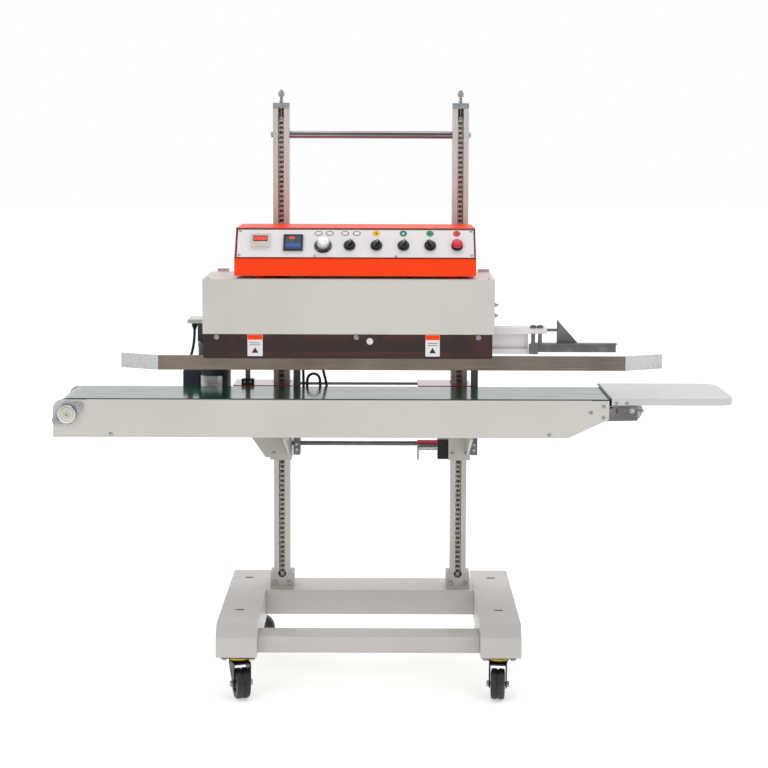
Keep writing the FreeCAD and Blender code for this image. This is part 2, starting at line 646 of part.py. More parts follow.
def infeed_post(x):
    """A clamp screw that ties the upper infeed rail to the bracket."""
    spot = (x, "seal_y - 26")
    shank = rod("Z", spot, ("cover_low - 28", "cover_low - 5"), 5)
    head = rod("Z", spot, ("cover_low + 10", "cover_low + 18"), 8)
    return [shank, head]


node("drive_motor", drive_motor())
node("infeed_rails", group("infeed_rails", infeed_rail(-1), infeed_rail(1)))
node("infeed_bracket", infeed_bracket())
node("head_screws", group("head_screws", *guard_screws(), *panel_screws(),
                          *infeed_post("mid_x + 406"), *infeed_post("mid_x + 423")))


# ---------------------------------------------------------------- conveyor

def side_panel(y):
    outline = [
        ("frame_left", "frame_low"), ("frame_right - 100", "frame_low"), ("frame_right", "frame_low + 47"),
        ("frame_right", "frame_top"), ("frame_left", "frame_top"),
    ]
    plate = prism("side_panel", "XZ", outline, y, "sheet")
    rounded = round_edges("panel_rounded", plate, "22",
                          lambda middle, way: abs(way.y) > 0.5 and middle.x < value("frame_left + 5")
                          and middle.z > value("frame_top - 5"))
    bore = rod("Y", ("drive_x", "belt_top - belt_thick - drive_radius"), (f"{y} - 1", f"{y} + sheet + 1"), 12)
    return cut("panel_bored", rounded, bore)


def conveyor_belt():
    """The belt loop: a level top run and a straight return that touches both rollers from below."""
    inner_drive = size("drive_radius") + size("gap")
    inner_tail = size("tail_radius") + size("gap")
    thick = size("belt_thick")
    top = size("belt_top") - thick

    def loop(outward):
        big, small = inner_drive + outward, inner_tail + outward
        drive = FreeCAD.Vector(size("drive_x"), 0, top - inner_drive)
        tail = FreeCAD.Vector(size("tail_x"), 0, top - inner_tail)
        # the return run mirrors the top run about the line through the rollers' axes
        line_angle = math.atan2(tail.z - drive.z, tail.x - drive.x)
        low_angle = 2 * line_angle - math.pi / 2

        def spot(centre, radius, angle):
            return centre + FreeCAD.Vector(radius * math.cos(angle), 0, radius * math.sin(angle))

        half_turn = math.pi + line_angle
        edges = [
            Part.LineSegment(spot(drive, big, math.pi / 2), spot(tail, small, math.pi / 2)).toShape(),
            Part.Arc(spot(tail, small, math.pi / 2), spot(tail, small, line_angle),
                     spot(tail, small, low_angle)).toShape(),
            Part.LineSegment(spot(tail, small, low_angle), spot(drive, big, low_angle)).toShape(),
            Part.Arc(spot(drive, big, low_angle), spot(drive, big, half_turn),
                     spot(drive, big, math.pi / 2)).toShape(),
        ]
        face = Part.Face(Part.Wire(edges))
        face.translate(FreeCAD.Vector(0, size("belt_front"), 0))
        return face.extrude(FreeCAD.Vector(0, size("belt_back") - size("belt_front"), 0))

    belt = doc.addObject("Part::Feature", "conveyor_belt")
    belt.Shape = loop(thick).cut(loop(0))
    return belt


def conveyor_bed():
    top = "belt_top - belt_thick - gap"
    across = ("drive_x + drive_radius + 12", "frame_right - 42")
    deck = block(across, ("frame_front + sheet", "frame_back - sheet"), (f"{top} - 3", top))
    # the slider deck hangs on two angles and five cross tubes
    flanges = (("frame_front + sheet", "frame_front + 2 * sheet"),
               ("frame_back - 2 * sheet", "frame_back - sheet"))
    angles = [block(across, y, (f"{top} - 24", f"{top} - 2")) for y in flanges]
    tubes = [rod("Y", (x, "frame_low + 10"), ("frame_front + sheet", "frame_back - sheet"), 6)
             for x in ("-700", "-400", "-100", "250")]
    return group("conveyor_bed", join("deck", deck, *angles), *tubes)


def roller(name, x, radius, journal):
    spot = (x, f"belt_top - belt_thick - ({radius})")
    drum = rod("Y", spot, ("belt_front - 3", "belt_back + 3"), radius)
    return join(name, drum, rod("Y", spot, journal, 8))


def flange_bearing(front):
    spot = ("drive_x", "belt_top - belt_thick - drive_radius")
    y = ("frame_front - 8", "frame_front") if front else ("frame_back", "frame_back + 8")
    hub_y = ("frame_front - 18", "frame_front") if front else ("frame_back", "frame_back + 18")
    hub = rod("Y", spot, hub_y, 22)
    lobes = [rod("Y", (f"{spot[0]} + {i} * 27", f"{spot[1]} + {i} * 17"), y, 11) for i in (-1, 1)]
    web = prism("flange_web", "XZ", [
        (f"{spot[0]} - 33", f"{spot[1]} - 7.5"), (f"{spot[0]} - 20", f"{spot[1]} - 26"),
        (f"{spot[0]} + 10", f"{spot[1]} - 25"), (f"{spot[0]} + 33", f"{spot[1]} + 7.5"),
        (f"{spot[0]} + 20", f"{spot[1]} + 26"), (f"{spot[0]} - 10", f"{spot[1]} + 25")], y[0], "8")
    bore = rod("Y", spot, (f"{y[0]} - 20", f"{y[1]} + 20"), "8 + running")
    return cut("flange_bearing", join("flange_body", hub, web, *lobes), bore)


def tension_bracket(front):
    y = "frame_front + sheet" if front else "frame_back - 2 * sheet"
    axle_z = "(belt_top - belt_thick - tail_radius)"
    outline = [("frame_right - 40", f"{axle_z} - 25"), ("tail_x + 14", f"{axle_z} - 25"),
               ("tail_x + 14", "table_top - 4"), ("table_left + 2", "table_top - 4"),
               ("table_left + 2", f"{axle_z} + 5"), ("frame_right - 40", f"{axle_z} + 5")]
    plate = prism("bracket_plate", "XZ", outline, y, "sheet")
    through = (f"{y} - 1", f"{y} + sheet + 1")
    bore = rod("Y", ("tail_x", axle_z), through, "8 + running")
    slot = block(("table_left + 12", "tail_x - 12"), through, (f"{axle_z} - 7", f"{axle_z} + 6"))
    screw_y = f"{y} + 0.5" if front else f"{y} + sheet - 0.5"
    screw = rod("X", (screw_y, f"{axle_z} - 2"), ("tail_x + 13", "tail_x + 27"), 3)
    return join("tension_bracket", cut("bracket_cut", plate, bore, slot), screw)


def extension_table():
    across = ("table_left", "table_right")
    low = "table_top - table_skirt"
    slab = block(across, ("frame_front", "table_back"), (low, "table_top"))
    rounded = round_edges("table_rounded", slab, "40", lambda middle, way: abs(way.z) > 0.5
                          and middle.x > value("table_right - 5"))
    inside = block(("table_left - 1", "table_right - sheet"), ("frame_front + sheet", "table_back - sheet"),
                   (f"{low} - 1", "table_top - sheet"))
    return cut("extension_table", rounded, round_edges("table_inner", inside, "37", lambda middle, way:
               abs(way.z) > 0.5 and middle.x > value("table_right - 10")))


def conveyor_screws():
    screws = []
    for x, z in ((-694, 648), (381, 648), (483, 704), (514, 719), (514, 691), (545, 727), (571, 727)):
        screws.append(rod("Y", (x, z), ("frame_front - 3", "frame_front"), 4.5))
        screws.append(rod("Y", (x, z), ("frame_back", "frame_back + 3"), 4.5))
    return screws


node("conveyor_panels", group("conveyor_panels", side_panel("frame_front"), side_panel("frame_back - sheet")))
node("conveyor_bed", conveyor_bed())
node("conveyor_belt", conveyor_belt())
node("drive_roller", roller("drive_roller", "drive_x", "drive_radius", ("frame_front - 14", "frame_back + 14")))
node("tail_roller", roller("tail_roller", "tail_x", "tail_radius",
                           ("frame_front + sheet + 0.2", "frame_back - sheet - 0.2")))
node("flange_bearings", group("flange_bearings", flange_bearing(True), flange_bearing(False)))
node("tension_brackets", group("tension_brackets", tension_bracket(True), tension_bracket(False)))
node("extension_table", extension_table())
node("conveyor_screws", group("conveyor_screws", *conveyor_screws()))


# ---------------------------------------------------------------- conveyor lift

def carriage(side):
    middle = f"mid_x + {side} * column_mid"
    sleeve = lift_sleeve(side, "sleeve_low", "sleeve_top", "low_lift_z")
    arm_x = f"{middle} + 18"
    rib = [("sleeve_front", "sleeve_low + 4"), ("sleeve_front", "frame_low"),
           ("frame_front + 30", "frame_low"), ("frame_front + 30", "frame_low - 10")]
    arm = prism("carriage_arm", "YZ", rib, arm_x, "6")
    shelf = block((f"{middle} - sleeve_half", f"{middle} + sleeve_half"), ("frame_front + 30", "sleeve_front"),
                  ("frame_low - 5", "frame_low"))
    hanger = block((f"{middle} - sleeve_half", f"{middle} + sleeve_half"), ("frame_back", "sleeve_front"),
                   ("frame_low", "frame_low + 60"))
    # a front plate closes the sprocket's room
    tall = ("sleeve_low", "frame_low - 5")
    across = (f"{middle} - sleeve_half", f"{middle} + sleeve_half")
    front = block(across, ("sleeve_front - 18", "sleeve_front - 14"), tall)
    walls = [block(span, ("sleeve_front - 15", "sleeve_front"), tall)
             for span in ((across[0], f"{across[0]} + 4"), (f"{across[1]} - 4", across[1]))]
    parts = [sleeve, arm, shelf, hanger, front, *walls]
    if side < 0:
        corners = [(f"{across[0]} + 1", "frame_low - 5"), (f"{across[0]} + 1", "sleeve_low + 6"),
                   (f"{across[0]} - 12", "sleeve_low + 6"), (f"{across[0]} - 50", "frame_low - 40"),
                   (f"{across[0]} - 50", "frame_low - 5")]
        parts.append(prism("carriage_wing", "XZ", corners, "sleeve_front - 18", "4"))
    return join("carriage", *parts)


def carriage_plate(side, left, right):
    middle = f"mid_x + {side} * column_mid"
    slab = block((f"mid_x + {left}", f"mid_x + {right}"), ("36", "sleeve_back + 4"),
                 ("sleeve_top", "sleeve_top + 6"))
    room = block((f"{middle} - column_wide / 2 - 1", f"{middle} + column_wide / 2 + 1"),
                 ("column_front - 1", "column_front + column_deep + 1"), ("sleeve_top - 1", "sleeve_top + 7"))
    return cut("carriage_plate", slab, room)


def rail():
    """The bag rail: a straight strip whose two ends bend back out of the bags' way."""
    back = "rail_end * sin(rail_bend * 1deg)"
    out = "rail_end * cos(rail_bend * 1deg)"
    outline = [
        ("rail_left", "rail_front"), ("rail_right", "rail_front"),
        (f"rail_right + {out}", f"rail_front + {back}"),
        (f"rail_right + {out} - 1.3", f"rail_front + {back} + 2.7"),
        ("rail_right - 0.7", "rail_front + 3"), ("rail_left + 0.7", "rail_front + 3"),
        (f"rail_left - {out} + 1.3", f"rail_front + {back} + 2.7"),
        (f"rail_left - {out}", f"rail_front + {back}"),
    ]
    return prism("rail", "XY", outline, "rail_low", "rail_high - rail_low")


def rail_post(left, right):
    """A square bar up from its bolt block behind the conveyor, with an arm forward to the rail."""
    upright = block((left, right), ("post_y - 8", "post_y + 8"), ("sleeve_low + 14", "rail_high - 8"))
    arm = block((left, right), ("rail_front + 3", "post_y + 8"), ("rail_high - 22", "rail_high - 8"))
    foot = block((left, right), ("post_y + 8", "sleeve_front"), ("sleeve_low + 14", "sleeve_low + 52"))
    return join("rail_post", upright, arm, foot)


def height_post():
    """The round post on the left carriage plate, with its two-screw clamp."""
    spot = ("mid_x - 318", "60")
    post = rod("Z", spot, ("sleeve_top + 6", "rail_high - 8"), 6.5)
    arm = block(("mid_x - 324", "mid_x - 312"), ("rail_front + 3", "60"), ("rail_high - 22", "rail_high - 8"))
    clamp = block(("mid_x - 334", "mid_x - 302"), ("48", "72"), ("sleeve_top + 6", "sleeve_top + 20"))
    return join("height_post", post, arm, clamp)


def lift_gearbox():
    x = "mid_x + column_mid - sleeve_half"
    casting = block((f"{x} - 28", x), ("sleeve_front - 4", "98"), ("sleeve_low", "frame_low - 50"))
    bored = cut("casting", casting, rod("X", ("lift_y", "low_lift_z"), (f"{x} - 30", f"{x} + 1"),
                                        "lift_radius + running"))
    plate = block((f"{x} - 81", f"{x} - 28"), ("sleeve_front - 4", "sleeve_front"),
                  ("low_lift_z - 15", "low_lift_z + 11"))
    socket = rod("X", ("sleeve_front - 11", "low_lift_z - 6"), (f"{x} - 81", f"{x} - 28"), 7)
    stem = rod("Z", (f"{x} - 79", "sleeve_front - 11"), ("sleeve_low", "low_lift_z"), 3)
    return join("lift_gearbox", bored, plate, socket, stem)


tie_bar = rod("X", ("66", "sleeve_top + 7"), ("mid_x - 200", "mid_x + 123"), 4)
node("carriages", group("carriages", *sides(carriage)))
node("carriage_plates", group("carriage_plates", carriage_plate(-1, -355, -200), carriage_plate(1, 123, 260.5),
                              tie_bar))
node("rail", rail())
node("rail_posts", group("rail_posts", rail_post("mid_x - 199", "mid_x - 181"),
                         rail_post("mid_x + 261", "mid_x + 279"), height_post()))
node("lift_gearbox", lift_gearbox())
node("conveyor_lift_shaft", lift_shaft("conveyor_lift_shaft", "low_lift_z"))


# ---------------------------------------------------------------- leads

def lead(name, route, radius):
    """A tube along a route: straight runs joined by arcs as large as each pair of runs allows."""
    spots = [FreeCAD.Vector(*spot) for spot in route]
    edges = []
    start = spots[0]
    for before, corner, after in zip(spots, spots[1:], spots[2:]):
        come, leave = (corner - before), (after - corner)
        shorter = min(come.Length, leave.Length)
        way_in, way_out = come.normalize(), leave.normalize()
        turn = way_in.getAngle(way_out)
        reach = 0.45 * shorter
        arc_start, arc_end = corner - way_in * reach, corner + way_out * reach
        bend = reach / math.tan(turn / 2)
        inward = (way_out - way_in).normalize()
        middle = corner + inward * (bend / math.cos(turn / 2) - bend)
        print(name, "bend radius", round(bend, 1))
        edges.append(Part.LineSegment(start, arc_start).toShape())
        edges.append(Part.Arc(arc_start, middle, arc_end).toShape())
        start = arc_end
    edges.append(Part.LineSegment(start, spots[-1]).toShape())
    path = Part.Wire(edges)
    section = Part.Wire([Part.Circle(spots[0], spots[1] - spots[0], radius).toShape()])
    tube = doc.addObject("Part::Feature", name)
    tube.Shape = path.makePipeShell([section], True, True)
    print(name, "length", round(path.Length, 1),
          "volume ratio", round(tube.Shape.Volume / (math.pi * radius ** 2 * path.Length), 4))
    return tube


# the slack lead leaves the head plate, folds once below the rail and goes back up into the plate
SLACK_ROUTE = [
    (-233, 46, 876), (-231.5, 45.5, 826), (-234, 43.5, 777), (-232, 42, 729), (-233, 42, 692),
    (-220.5, 42, 679.5), (-202.5, 42, 679.5), (-190, 42.5, 692), (-189.5, 44.5, 721), (-190, 47, 754),
    (-199.8, 47.5, 763.8), (-213.6, 48, 763.8), (-223.4, 48.5, 754), (-223.8, 51, 726), (-223.4, 52.5, 699),
    (-208.3, 53, 684), (-187, 53, 684), (-172, 52.5, 699), (-172.5, 51, 735), (-182, 49, 772),
    (-191, 47.5, 812), (-193.5, 46.5, 845), (-194, 46, 876),
]
MOTOR_ROUTE = [
    (-532, 88, 776), (-531, 88, 798), (-524, 88, 822), (-519.5, 88, 850), (-519, 88, 880),
]


def gland(x, y, low, high):
    return rod("Z", (x, y), (low, high), 8)


node("lead_glands", group("lead_glands", gland("-233", "46", "876", "cover_low"),
                          gland("-194", "46", "876", "cover_low"),
                          gland("-532", "88", "cover_low - 124", "776"),
                          gland("-519", "88", "880", "cover_low"),
                          rod("Y", ("mid_x + 200", "box_low + 24"), ("box_back", "box_back + 18"), 10)))
node("slack_lead", lead("slack_lead", SLACK_ROUTE, size("lead_radius")))
node("motor_lead", lead("motor_lead", MOTOR_ROUTE, size("lead_radius")))


# ---------------------------------------------------------------- checks and files

doc.recompute()
faults = [thing.Name for thing in doc.Objects if {"Invalid", "Error"} & set(thing.State)]
faults += [thing.Label for thing in nodes if thing.Shape.isNull() or not thing.Shape.isValid()]
if faults:
    raise RuntimeError("these objects failed: " + ", ".join(faults))
os.makedirs("parts", exist_ok=True)
for thing in nodes:
    thing.Shape.exportStep(f"parts/{thing.Label}.step")
print(len(nodes), "sub-parts written")
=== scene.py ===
import math

import bmesh
import bpy
from mathutils import Matrix, Vector


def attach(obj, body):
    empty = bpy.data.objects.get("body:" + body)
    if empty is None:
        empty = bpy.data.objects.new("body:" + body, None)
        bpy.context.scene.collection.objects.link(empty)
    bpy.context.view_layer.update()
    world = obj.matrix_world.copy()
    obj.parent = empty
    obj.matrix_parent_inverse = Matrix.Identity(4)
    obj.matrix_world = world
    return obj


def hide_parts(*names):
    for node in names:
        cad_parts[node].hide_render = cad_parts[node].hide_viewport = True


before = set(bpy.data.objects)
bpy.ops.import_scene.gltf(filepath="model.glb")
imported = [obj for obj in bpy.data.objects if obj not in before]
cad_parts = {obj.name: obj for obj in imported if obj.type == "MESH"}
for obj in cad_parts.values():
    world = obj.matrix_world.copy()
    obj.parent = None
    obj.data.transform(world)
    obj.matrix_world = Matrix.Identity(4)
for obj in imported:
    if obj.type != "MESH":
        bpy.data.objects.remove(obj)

# The looks of the band sealer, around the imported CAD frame. Pieces are drawn in millimetres, in its frame.

MM = 0.001
MID = -60.0                 # the plane midway between the columns
COLUMN_X = (MID - 232, MID + 232)
PANEL_TILT = math.radians(39)
PANEL_FACE = 2.5            # the control panel's thickness
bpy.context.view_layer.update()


# ---------------------------------------------------------------- shader nodes

def linear(code):
    """A six-digit sRGB code as linear red, green, blue and a full alpha."""
    parts = [int(code[i:i + 2], 16) / 255 for i in (0, 2, 4)]
    return (*[c / 12.92 if c <= 0.04045 else ((c + 0.055) / 1.055) ** 2.4 for c in parts], 1.0)


class Shader:
    """One procedural material around a Principled BSDF, with its detail in object coordinates."""

    def __init__(self, name, colour, roughness, metallic=0.0, **sockets):
        self.material = bpy.data.materials.new(name)
        self.material.use_nodes = True
        self.tree = self.material.node_tree
        self.bsdf = self.tree.nodes["Principled BSDF"]
        self.colour = linear(colour)
        self.bsdf.inputs["Base Color"].default_value = self.colour
        self.bsdf.inputs["Roughness"].default_value = roughness
        self.bsdf.inputs["Metallic"].default_value = metallic
        for socket, number in sockets.items():
            self.bsdf.inputs[socket.replace("_", " ")].default_value = number
        self.height = None

    def add(self, kind, links=(), **settings):
        node = self.tree.nodes.new("ShaderNode" + kind)
        for name, setting in settings.items():
            setattr(node, name, setting)
        for socket, source in links:
            if isinstance(source, bpy.types.NodeSocket):
                self.tree.links.new(source, node.inputs[socket])
            else:
                node.inputs[socket].default_value = source
        return node

    def coords(self, stretch):
        place = self.add("TexCoord").outputs["Object"]
        return self.add("Mapping", [("Vector", place), ("Scale", stretch)]).outputs["Vector"]

    def noise(self, scale, detail=4.0, stretch=(1, 1, 1)):
        links = [("Vector", self.coords(stretch)), ("Scale", scale), ("Detail", detail)]
        return self.add("TexNoise", links).outputs["Fac"]

    def cells(self, scale, stretch=(1, 1, 1)):
        links = [("Vector", self.coords(stretch)), ("Scale", scale)]
        return self.add("TexVoronoi", links).outputs["Distance"]

    def bands(self, scale, axis, distortion=0.0):
        links = [("Vector", self.coords((1, 1, 1))), ("Scale", scale), ("Distortion", distortion)]
        return self.add("TexWave", links, bands_direction=axis).outputs["Fac"]

    def between(self, source, low, high, start=0.3, end=0.7):
        """Maps a 0-1 pattern to a run of plain numbers."""
        links = [("Value", source), ("From Min", start), ("From Max", end), ("To Min", low), ("To Max", high)]
        return self.add("MapRange", links).outputs["Result"]

    def rough(self, source, low, high, start=0.3, end=0.7):
        self.tree.links.new(self.between(source, low, high, start, end), self.bsdf.inputs["Roughness"])

    def tint(self, source, other, start=0.3, end=0.7):
        """Runs the base colour towards another one where the pattern is high."""
        share = self.between(source, 0.0, 1.0, start, end)
        mix = self.add("Mix", data_type="RGBA")
        self.tree.links.new(share, mix.inputs["Factor"])
        present = self.bsdf.inputs["Base Color"]
        if present.is_linked:
            self.tree.links.new(present.links[0].from_socket, mix.inputs[6])
        else:
            mix.inputs[6].default_value = self.colour
        mix.inputs[7].default_value = linear(other)
        self.tree.links.new(mix.outputs[2], present)

    def bump(self, source, depth, strength=1.0):
        """A relief of the given depth in millimetres. Later calls stack on earlier ones."""
        links = [("Height", source), ("Distance", depth * MM), ("Strength", strength)]
        if self.height is not None:
            links.append(("Normal", self.height))
        self.height = self.add("Bump", links).outputs["Normal"]
        self.tree.links.new(self.height, self.bsdf.inputs["Normal"])

    def worn(self, tint, rough, bump):
        """The usual tint, roughness and relief, each from its own noise, and the finished material."""
        self.tint(self.noise(*tint[0]), *tint[1:])
        self.rough(self.noise(*rough[0]), *rough[1:])
        self.bump(self.noise(*bump[0]), *bump[1:])
        return self.material


# ---------------------------------------------------------------- materials

def powder_coat(name, colour, dust, roughness=0.42):
    """Baked powder paint: fine orange peel, faint uneven cure and a little dust."""
    s = Shader(name, colour, roughness, Coat_Weight=0.12, Coat_Roughness=0.25)
    s.tint(s.noise(3.0, 5.0), dust, 0.45, 0.85)
    s.rough(s.noise(45.0, 3.0), roughness - 0.07, roughness + 0.07)
    s.bump(s.noise(520.0, 2.0), 0.12)
    s.bump(s.cells(240.0), 0.05)
    return s


def frame_paint(name):
    s = powder_coat(name, "C6C1BD", "B9B3AE")
    s.tint(s.noise(160.0, 6.0), "A8A29A", 0.68, 0.9)
    return s.material


def mast_paint(name):
    s = powder_coat(name, "C6C2BC", "B6B1AA", 0.38)
    s.tint(s.noise(14.0, 6.0, (6, 6, 0.5)), "ACA69F", 0.6, 0.9)
    return s.material


def cast_grey(name):
    s = powder_coat(name, "BEBAB4", "A5A099", 0.5)
    s.bump(s.noise(170.0, 5.0), 0.35)
    return s.material


def cover_paint(name):
    return powder_coat(name, "C9C6C1", "BFBBB5", 0.36).material


def table_paint(name):
    s = Shader(name, "C9C8C7", 0.38, Coat_Weight=0.1, Coat_Roughness=0.25)
    return s.worn(((3.0, 2.0), "C3C2C1", 0.35, 0.85), ((45.0, 3.0), 0.32, 0.44), ((520.0, 2.0), 0.06))


def orange_paint(name):
    s = Shader(name, "F83E00", 0.4, Specular_IOR_Level=0.22)
    return s.worn(((4.0, 5.0), "F03A00", 0.4, 0.9), ((60.0, 3.0), 0.34, 0.46), ((480.0, 2.0), 0.04))


def shaded_orange_paint(name):
    """Deep glossy red on the carriage plates: their orange paint given the darker red it shows in shade,
    painted shade.
    """
    s = Shader(name, "8A1620", 0.2, Coat_Weight=0.8, Coat_Roughness=0.06)
    return s.worn(((8.0, 5.0), "741018", 0.4, 0.9), ((60.0, 4.0), 0.14, 0.28), ((300.0, 2.0), 0.05))


def zinc(name):
    """Bright zinc plating with its cloudy crystals."""
    s = Shader(name, "C2C4C6", 0.34, 0.9)
    s.tint(s.cells(190.0), "9A9C9F", 0.1, 0.6)
    s.rough(s.noise(220.0, 4.0), 0.24, 0.46)
    s.bump(s.noise(700.0, 3.0), 0.04)
    return s.material


def chain_steel(name):
    """Bright rollers and plates with a little oil."""
    s = Shader(name, "DAD6D0", 0.4, 0.35)
    return s.worn(((300.0, 4.0), "B0ABA4", 0.5, 0.8), ((180.0, 5.0), 0.3, 0.5), ((600.0, 3.0), 0.06))


def chrome(name):
    s = Shader(name, "D9DBDD", 0.12, 1.0)
    return s.worn(((30.0, 4.0), "C2C4C8", 0.4, 0.8), ((90.0, 5.0, (0.2, 1, 1)), 0.07, 0.2),
                  ((900.0, 2.0, (0.1, 1, 1)), 0.01))


def black_steel(name):
    s = Shader(name, "1B1B1C", 0.4, 0.5)
    return s.worn(((90.0, 5.0), "333230", 0.55, 0.8), ((150.0, 4.0), 0.3, 0.55), ((420.0, 4.0), 0.12))


def polished_bar(name):
    """A drawn round bar, polished but dull beside chrome."""
    s = Shader(name, "8C878A", 0.16, 1.0)
    return s.worn(((30.0, 4.0, (0.1, 1, 1)), "6E696D", 0.4, 0.8), ((90.0, 5.0, (0.2, 1, 1)), 0.1, 0.24),
                  ((900.0, 2.0, (0.1, 1, 1)), 0.01))


def dark_steel(name):
    """Grey phosphated plate with rubbed patches."""
    s = Shader(name, "6C6A69", 0.42, 0.7)
    return s.worn(((28.0, 6.0), "8B8987", 0.5, 0.8), ((110.0, 5.0), 0.32, 0.55), ((500.0, 3.0), 0.06))


def tinted_acrylic(name):
    s = Shader(name, "43180C", 0.07, IOR=1.49, Transmission_Weight=0.7, Specular_IOR_Level=0.3)
    return s.worn(((6.0, 2.0), "381408", 0.3, 0.9), ((25.0, 5.0), 0.05, 0.12), ((9.0, 2.0), 0.02))


def panel_white(name):
    s = Shader(name, "E2DEE0", 0.4)
    return s.worn(((7.0, 4.0), "D8D4D6", 0.4, 0.9), ((70.0, 3.0), 0.34, 0.5), ((900.0, 2.0), 0.03))


def moulded(name, colour, other, roughness):
    """Moulded plastic with the fine spark texture of its tool."""
    s = Shader(name, colour, roughness, IOR=1.5)
    s.tint(s.noise(40.0, 3.0), other, 0.35, 0.85)
    s.rough(s.noise(260.0, 3.0), roughness - 0.06, roughness + 0.08)
    s.bump(s.noise(1100.0, 2.0), 0.03)
    return s.material


def panel_plastic(name):
    return moulded(name, "CFCBC0", "BEB9AC", 0.42)


def black_plastic(name):
    return moulded(name, "19191B", "252527", 0.34)


def zinc_yellow(name):
    """Yellow-passivated plating on the casters' swivel rings."""
    s = Shader(name, "C9AE3A", 0.36, 0.8)
    return s.worn(((45.0, 5.0), "A98F2C", 0.4, 0.8), ((160.0, 4.0), 0.26, 0.46), ((500.0, 3.0), 0.05))


def red_plastic(name):
    return moulded(name, "CE1830", "B51028", 0.26)


def slate_plastic(name):
    return moulded(name, "2B3442", "222A36", 0.3)


def blue_plastic(name):
    return moulded(name, "27509E", "1E4289", 0.3)


def yellow_print(name):
    return moulded(name, "F2B80A", "E2A704", 0.45)


def teal_print(name):
    return moulded(name, "0E7C74", "0B6C66", 0.45)


def green_print(name):
    return moulded(name, "12924A", "0E7F3F", 0.45)


def dark_trim_and_lid_shade(name):
    # near-black red: the panel's trim line, darkened to stand for the lid's shade as well, painted shade
    return moulded(name, "4E1612", "3C100C", 0.4)


def display_red(name):
    s = Shader(name, "7A0B08", 0.12)
    s.tint(s.noise(60.0, 2.0), "5C0705", 0.4, 0.8)
    s.rough(s.noise(90.0, 2.0), 0.08, 0.16)
    return s.material


def lit_segment(name):
    s = Shader(name, "FF3A22", 0.3, Emission_Strength=1.6)
    s.bsdf.inputs["Emission Color"].default_value = linear("FF3A22")
    s.tint(s.noise(900.0, 1.0), "FF6A48", 0.4, 0.8)
    return s.material


def seal_band(name):
    """Woven glass tape soaked in brown PTFE."""
    s = Shader(name, "A0713F", 0.4, Coat_Weight=0.3, Coat_Roughness=0.2)
    s.tint(s.bands(260.0, "Z", 0.3), "865A2E", 0.3, 0.8)
    s.tint(s.bands(260.0, "X", 0.3), "B58650", 0.4, 0.9)
    s.bump(s.bands(260.0, "X"), 0.06)
    s.bump(s.bands(260.0, "Z"), 0.06)
    return s.material


def brass_block(name):
    s = Shader(name, "C79A55", 0.28, 1.0)
    return s.worn(((40.0, 5.0), "8F6231", 0.45, 0.8), ((240.0, 3.0, (0.1, 1, 1)), 0.2, 0.42),
                  ((700.0, 2.0, (0.05, 1, 1)), 0.05))


def motor_paint(name):
    s = Shader(name, "1C2433", 0.38, Coat_Weight=0.2, Coat_Roughness=0.2)
    return s.worn(((20.0, 5.0), "2B3446", 0.5, 0.85), ((120.0, 4.0), 0.3, 0.5), ((380.0, 3.0), 0.12))


def bright_aluminium(name):
    """Extruded and linished along X."""
    s = Shader(name, "D2D3D4", 0.3, 0.85)
    return s.worn(((320.0, 3.0, (0.03, 1, 1)), "BEBFC1", 0.35, 0.75),
                  ((420.0, 3.0, (0.03, 1, 1)), 0.22, 0.38),
                  ((900.0, 2.0, (0.02, 1, 1)), 0.012))


def stainless(name):
    """Brushed sheet: fine scratches along the rail and wide cloudy bands across it."""
    s = Shader(name, "7C7168", 0.32, 1.0, Anisotropic=0.5)
    s.tint(s.noise(650.0, 3.0, (0.012, 1, 1)), "5E554D", 0.35, 0.75)
    return s.worn(((5.0, 3.0, (1, 0.2, 0.2)), "8C8278", 0.4, 0.8), ((500.0, 4.0, (0.02, 1, 1)), 0.22, 0.42),
                  ((1200.0, 2.0, (0.01, 1, 1)), 0.03))


def cable_rubber(name):
    s = Shader(name, "161616", 0.45)
    return s.worn(((60.0, 4.0), "222120", 0.4, 0.8), ((120.0, 3.0), 0.36, 0.56), ((800.0, 2.0), 0.04))


def green_belt(name):
    """Glossy PVC belt with its faint weave print and scuffs along the run."""
    s = Shader(name, "0B4635", 0.16, Coat_Weight=0.3, Coat_Roughness=0.08)
    s.tint(s.noise(9.0, 6.0, (0.15, 1, 1)), "0F523F", 0.4, 0.85)
    return s.worn(((130.0, 5.0, (0.05, 1, 1)), "2A6B57", 0.7, 0.9), ((70.0, 5.0, (0.08, 1, 1)), 0.12, 0.24),
                  ((900.0, 2.0), 0.004))


def roller_rubber(name):
    s = Shader(name, "141414", 0.5)
    s.tint(s.noise(50.0, 4.0), "232220", 0.45, 0.8)
    s.rough(s.noise(120.0, 4.0), 0.4, 0.62)
    s.bump(s.bands(90.0, "Y", 0.0), 0.3)
    return s.material


def wheel_rubber(name):
    s = Shader(name, "1D1C1C", 0.44)
    return s.worn(((35.0, 5.0), "3A3836", 0.52, 0.85), ((110.0, 4.0), 0.34, 0.6), ((260.0, 4.0), 0.15))


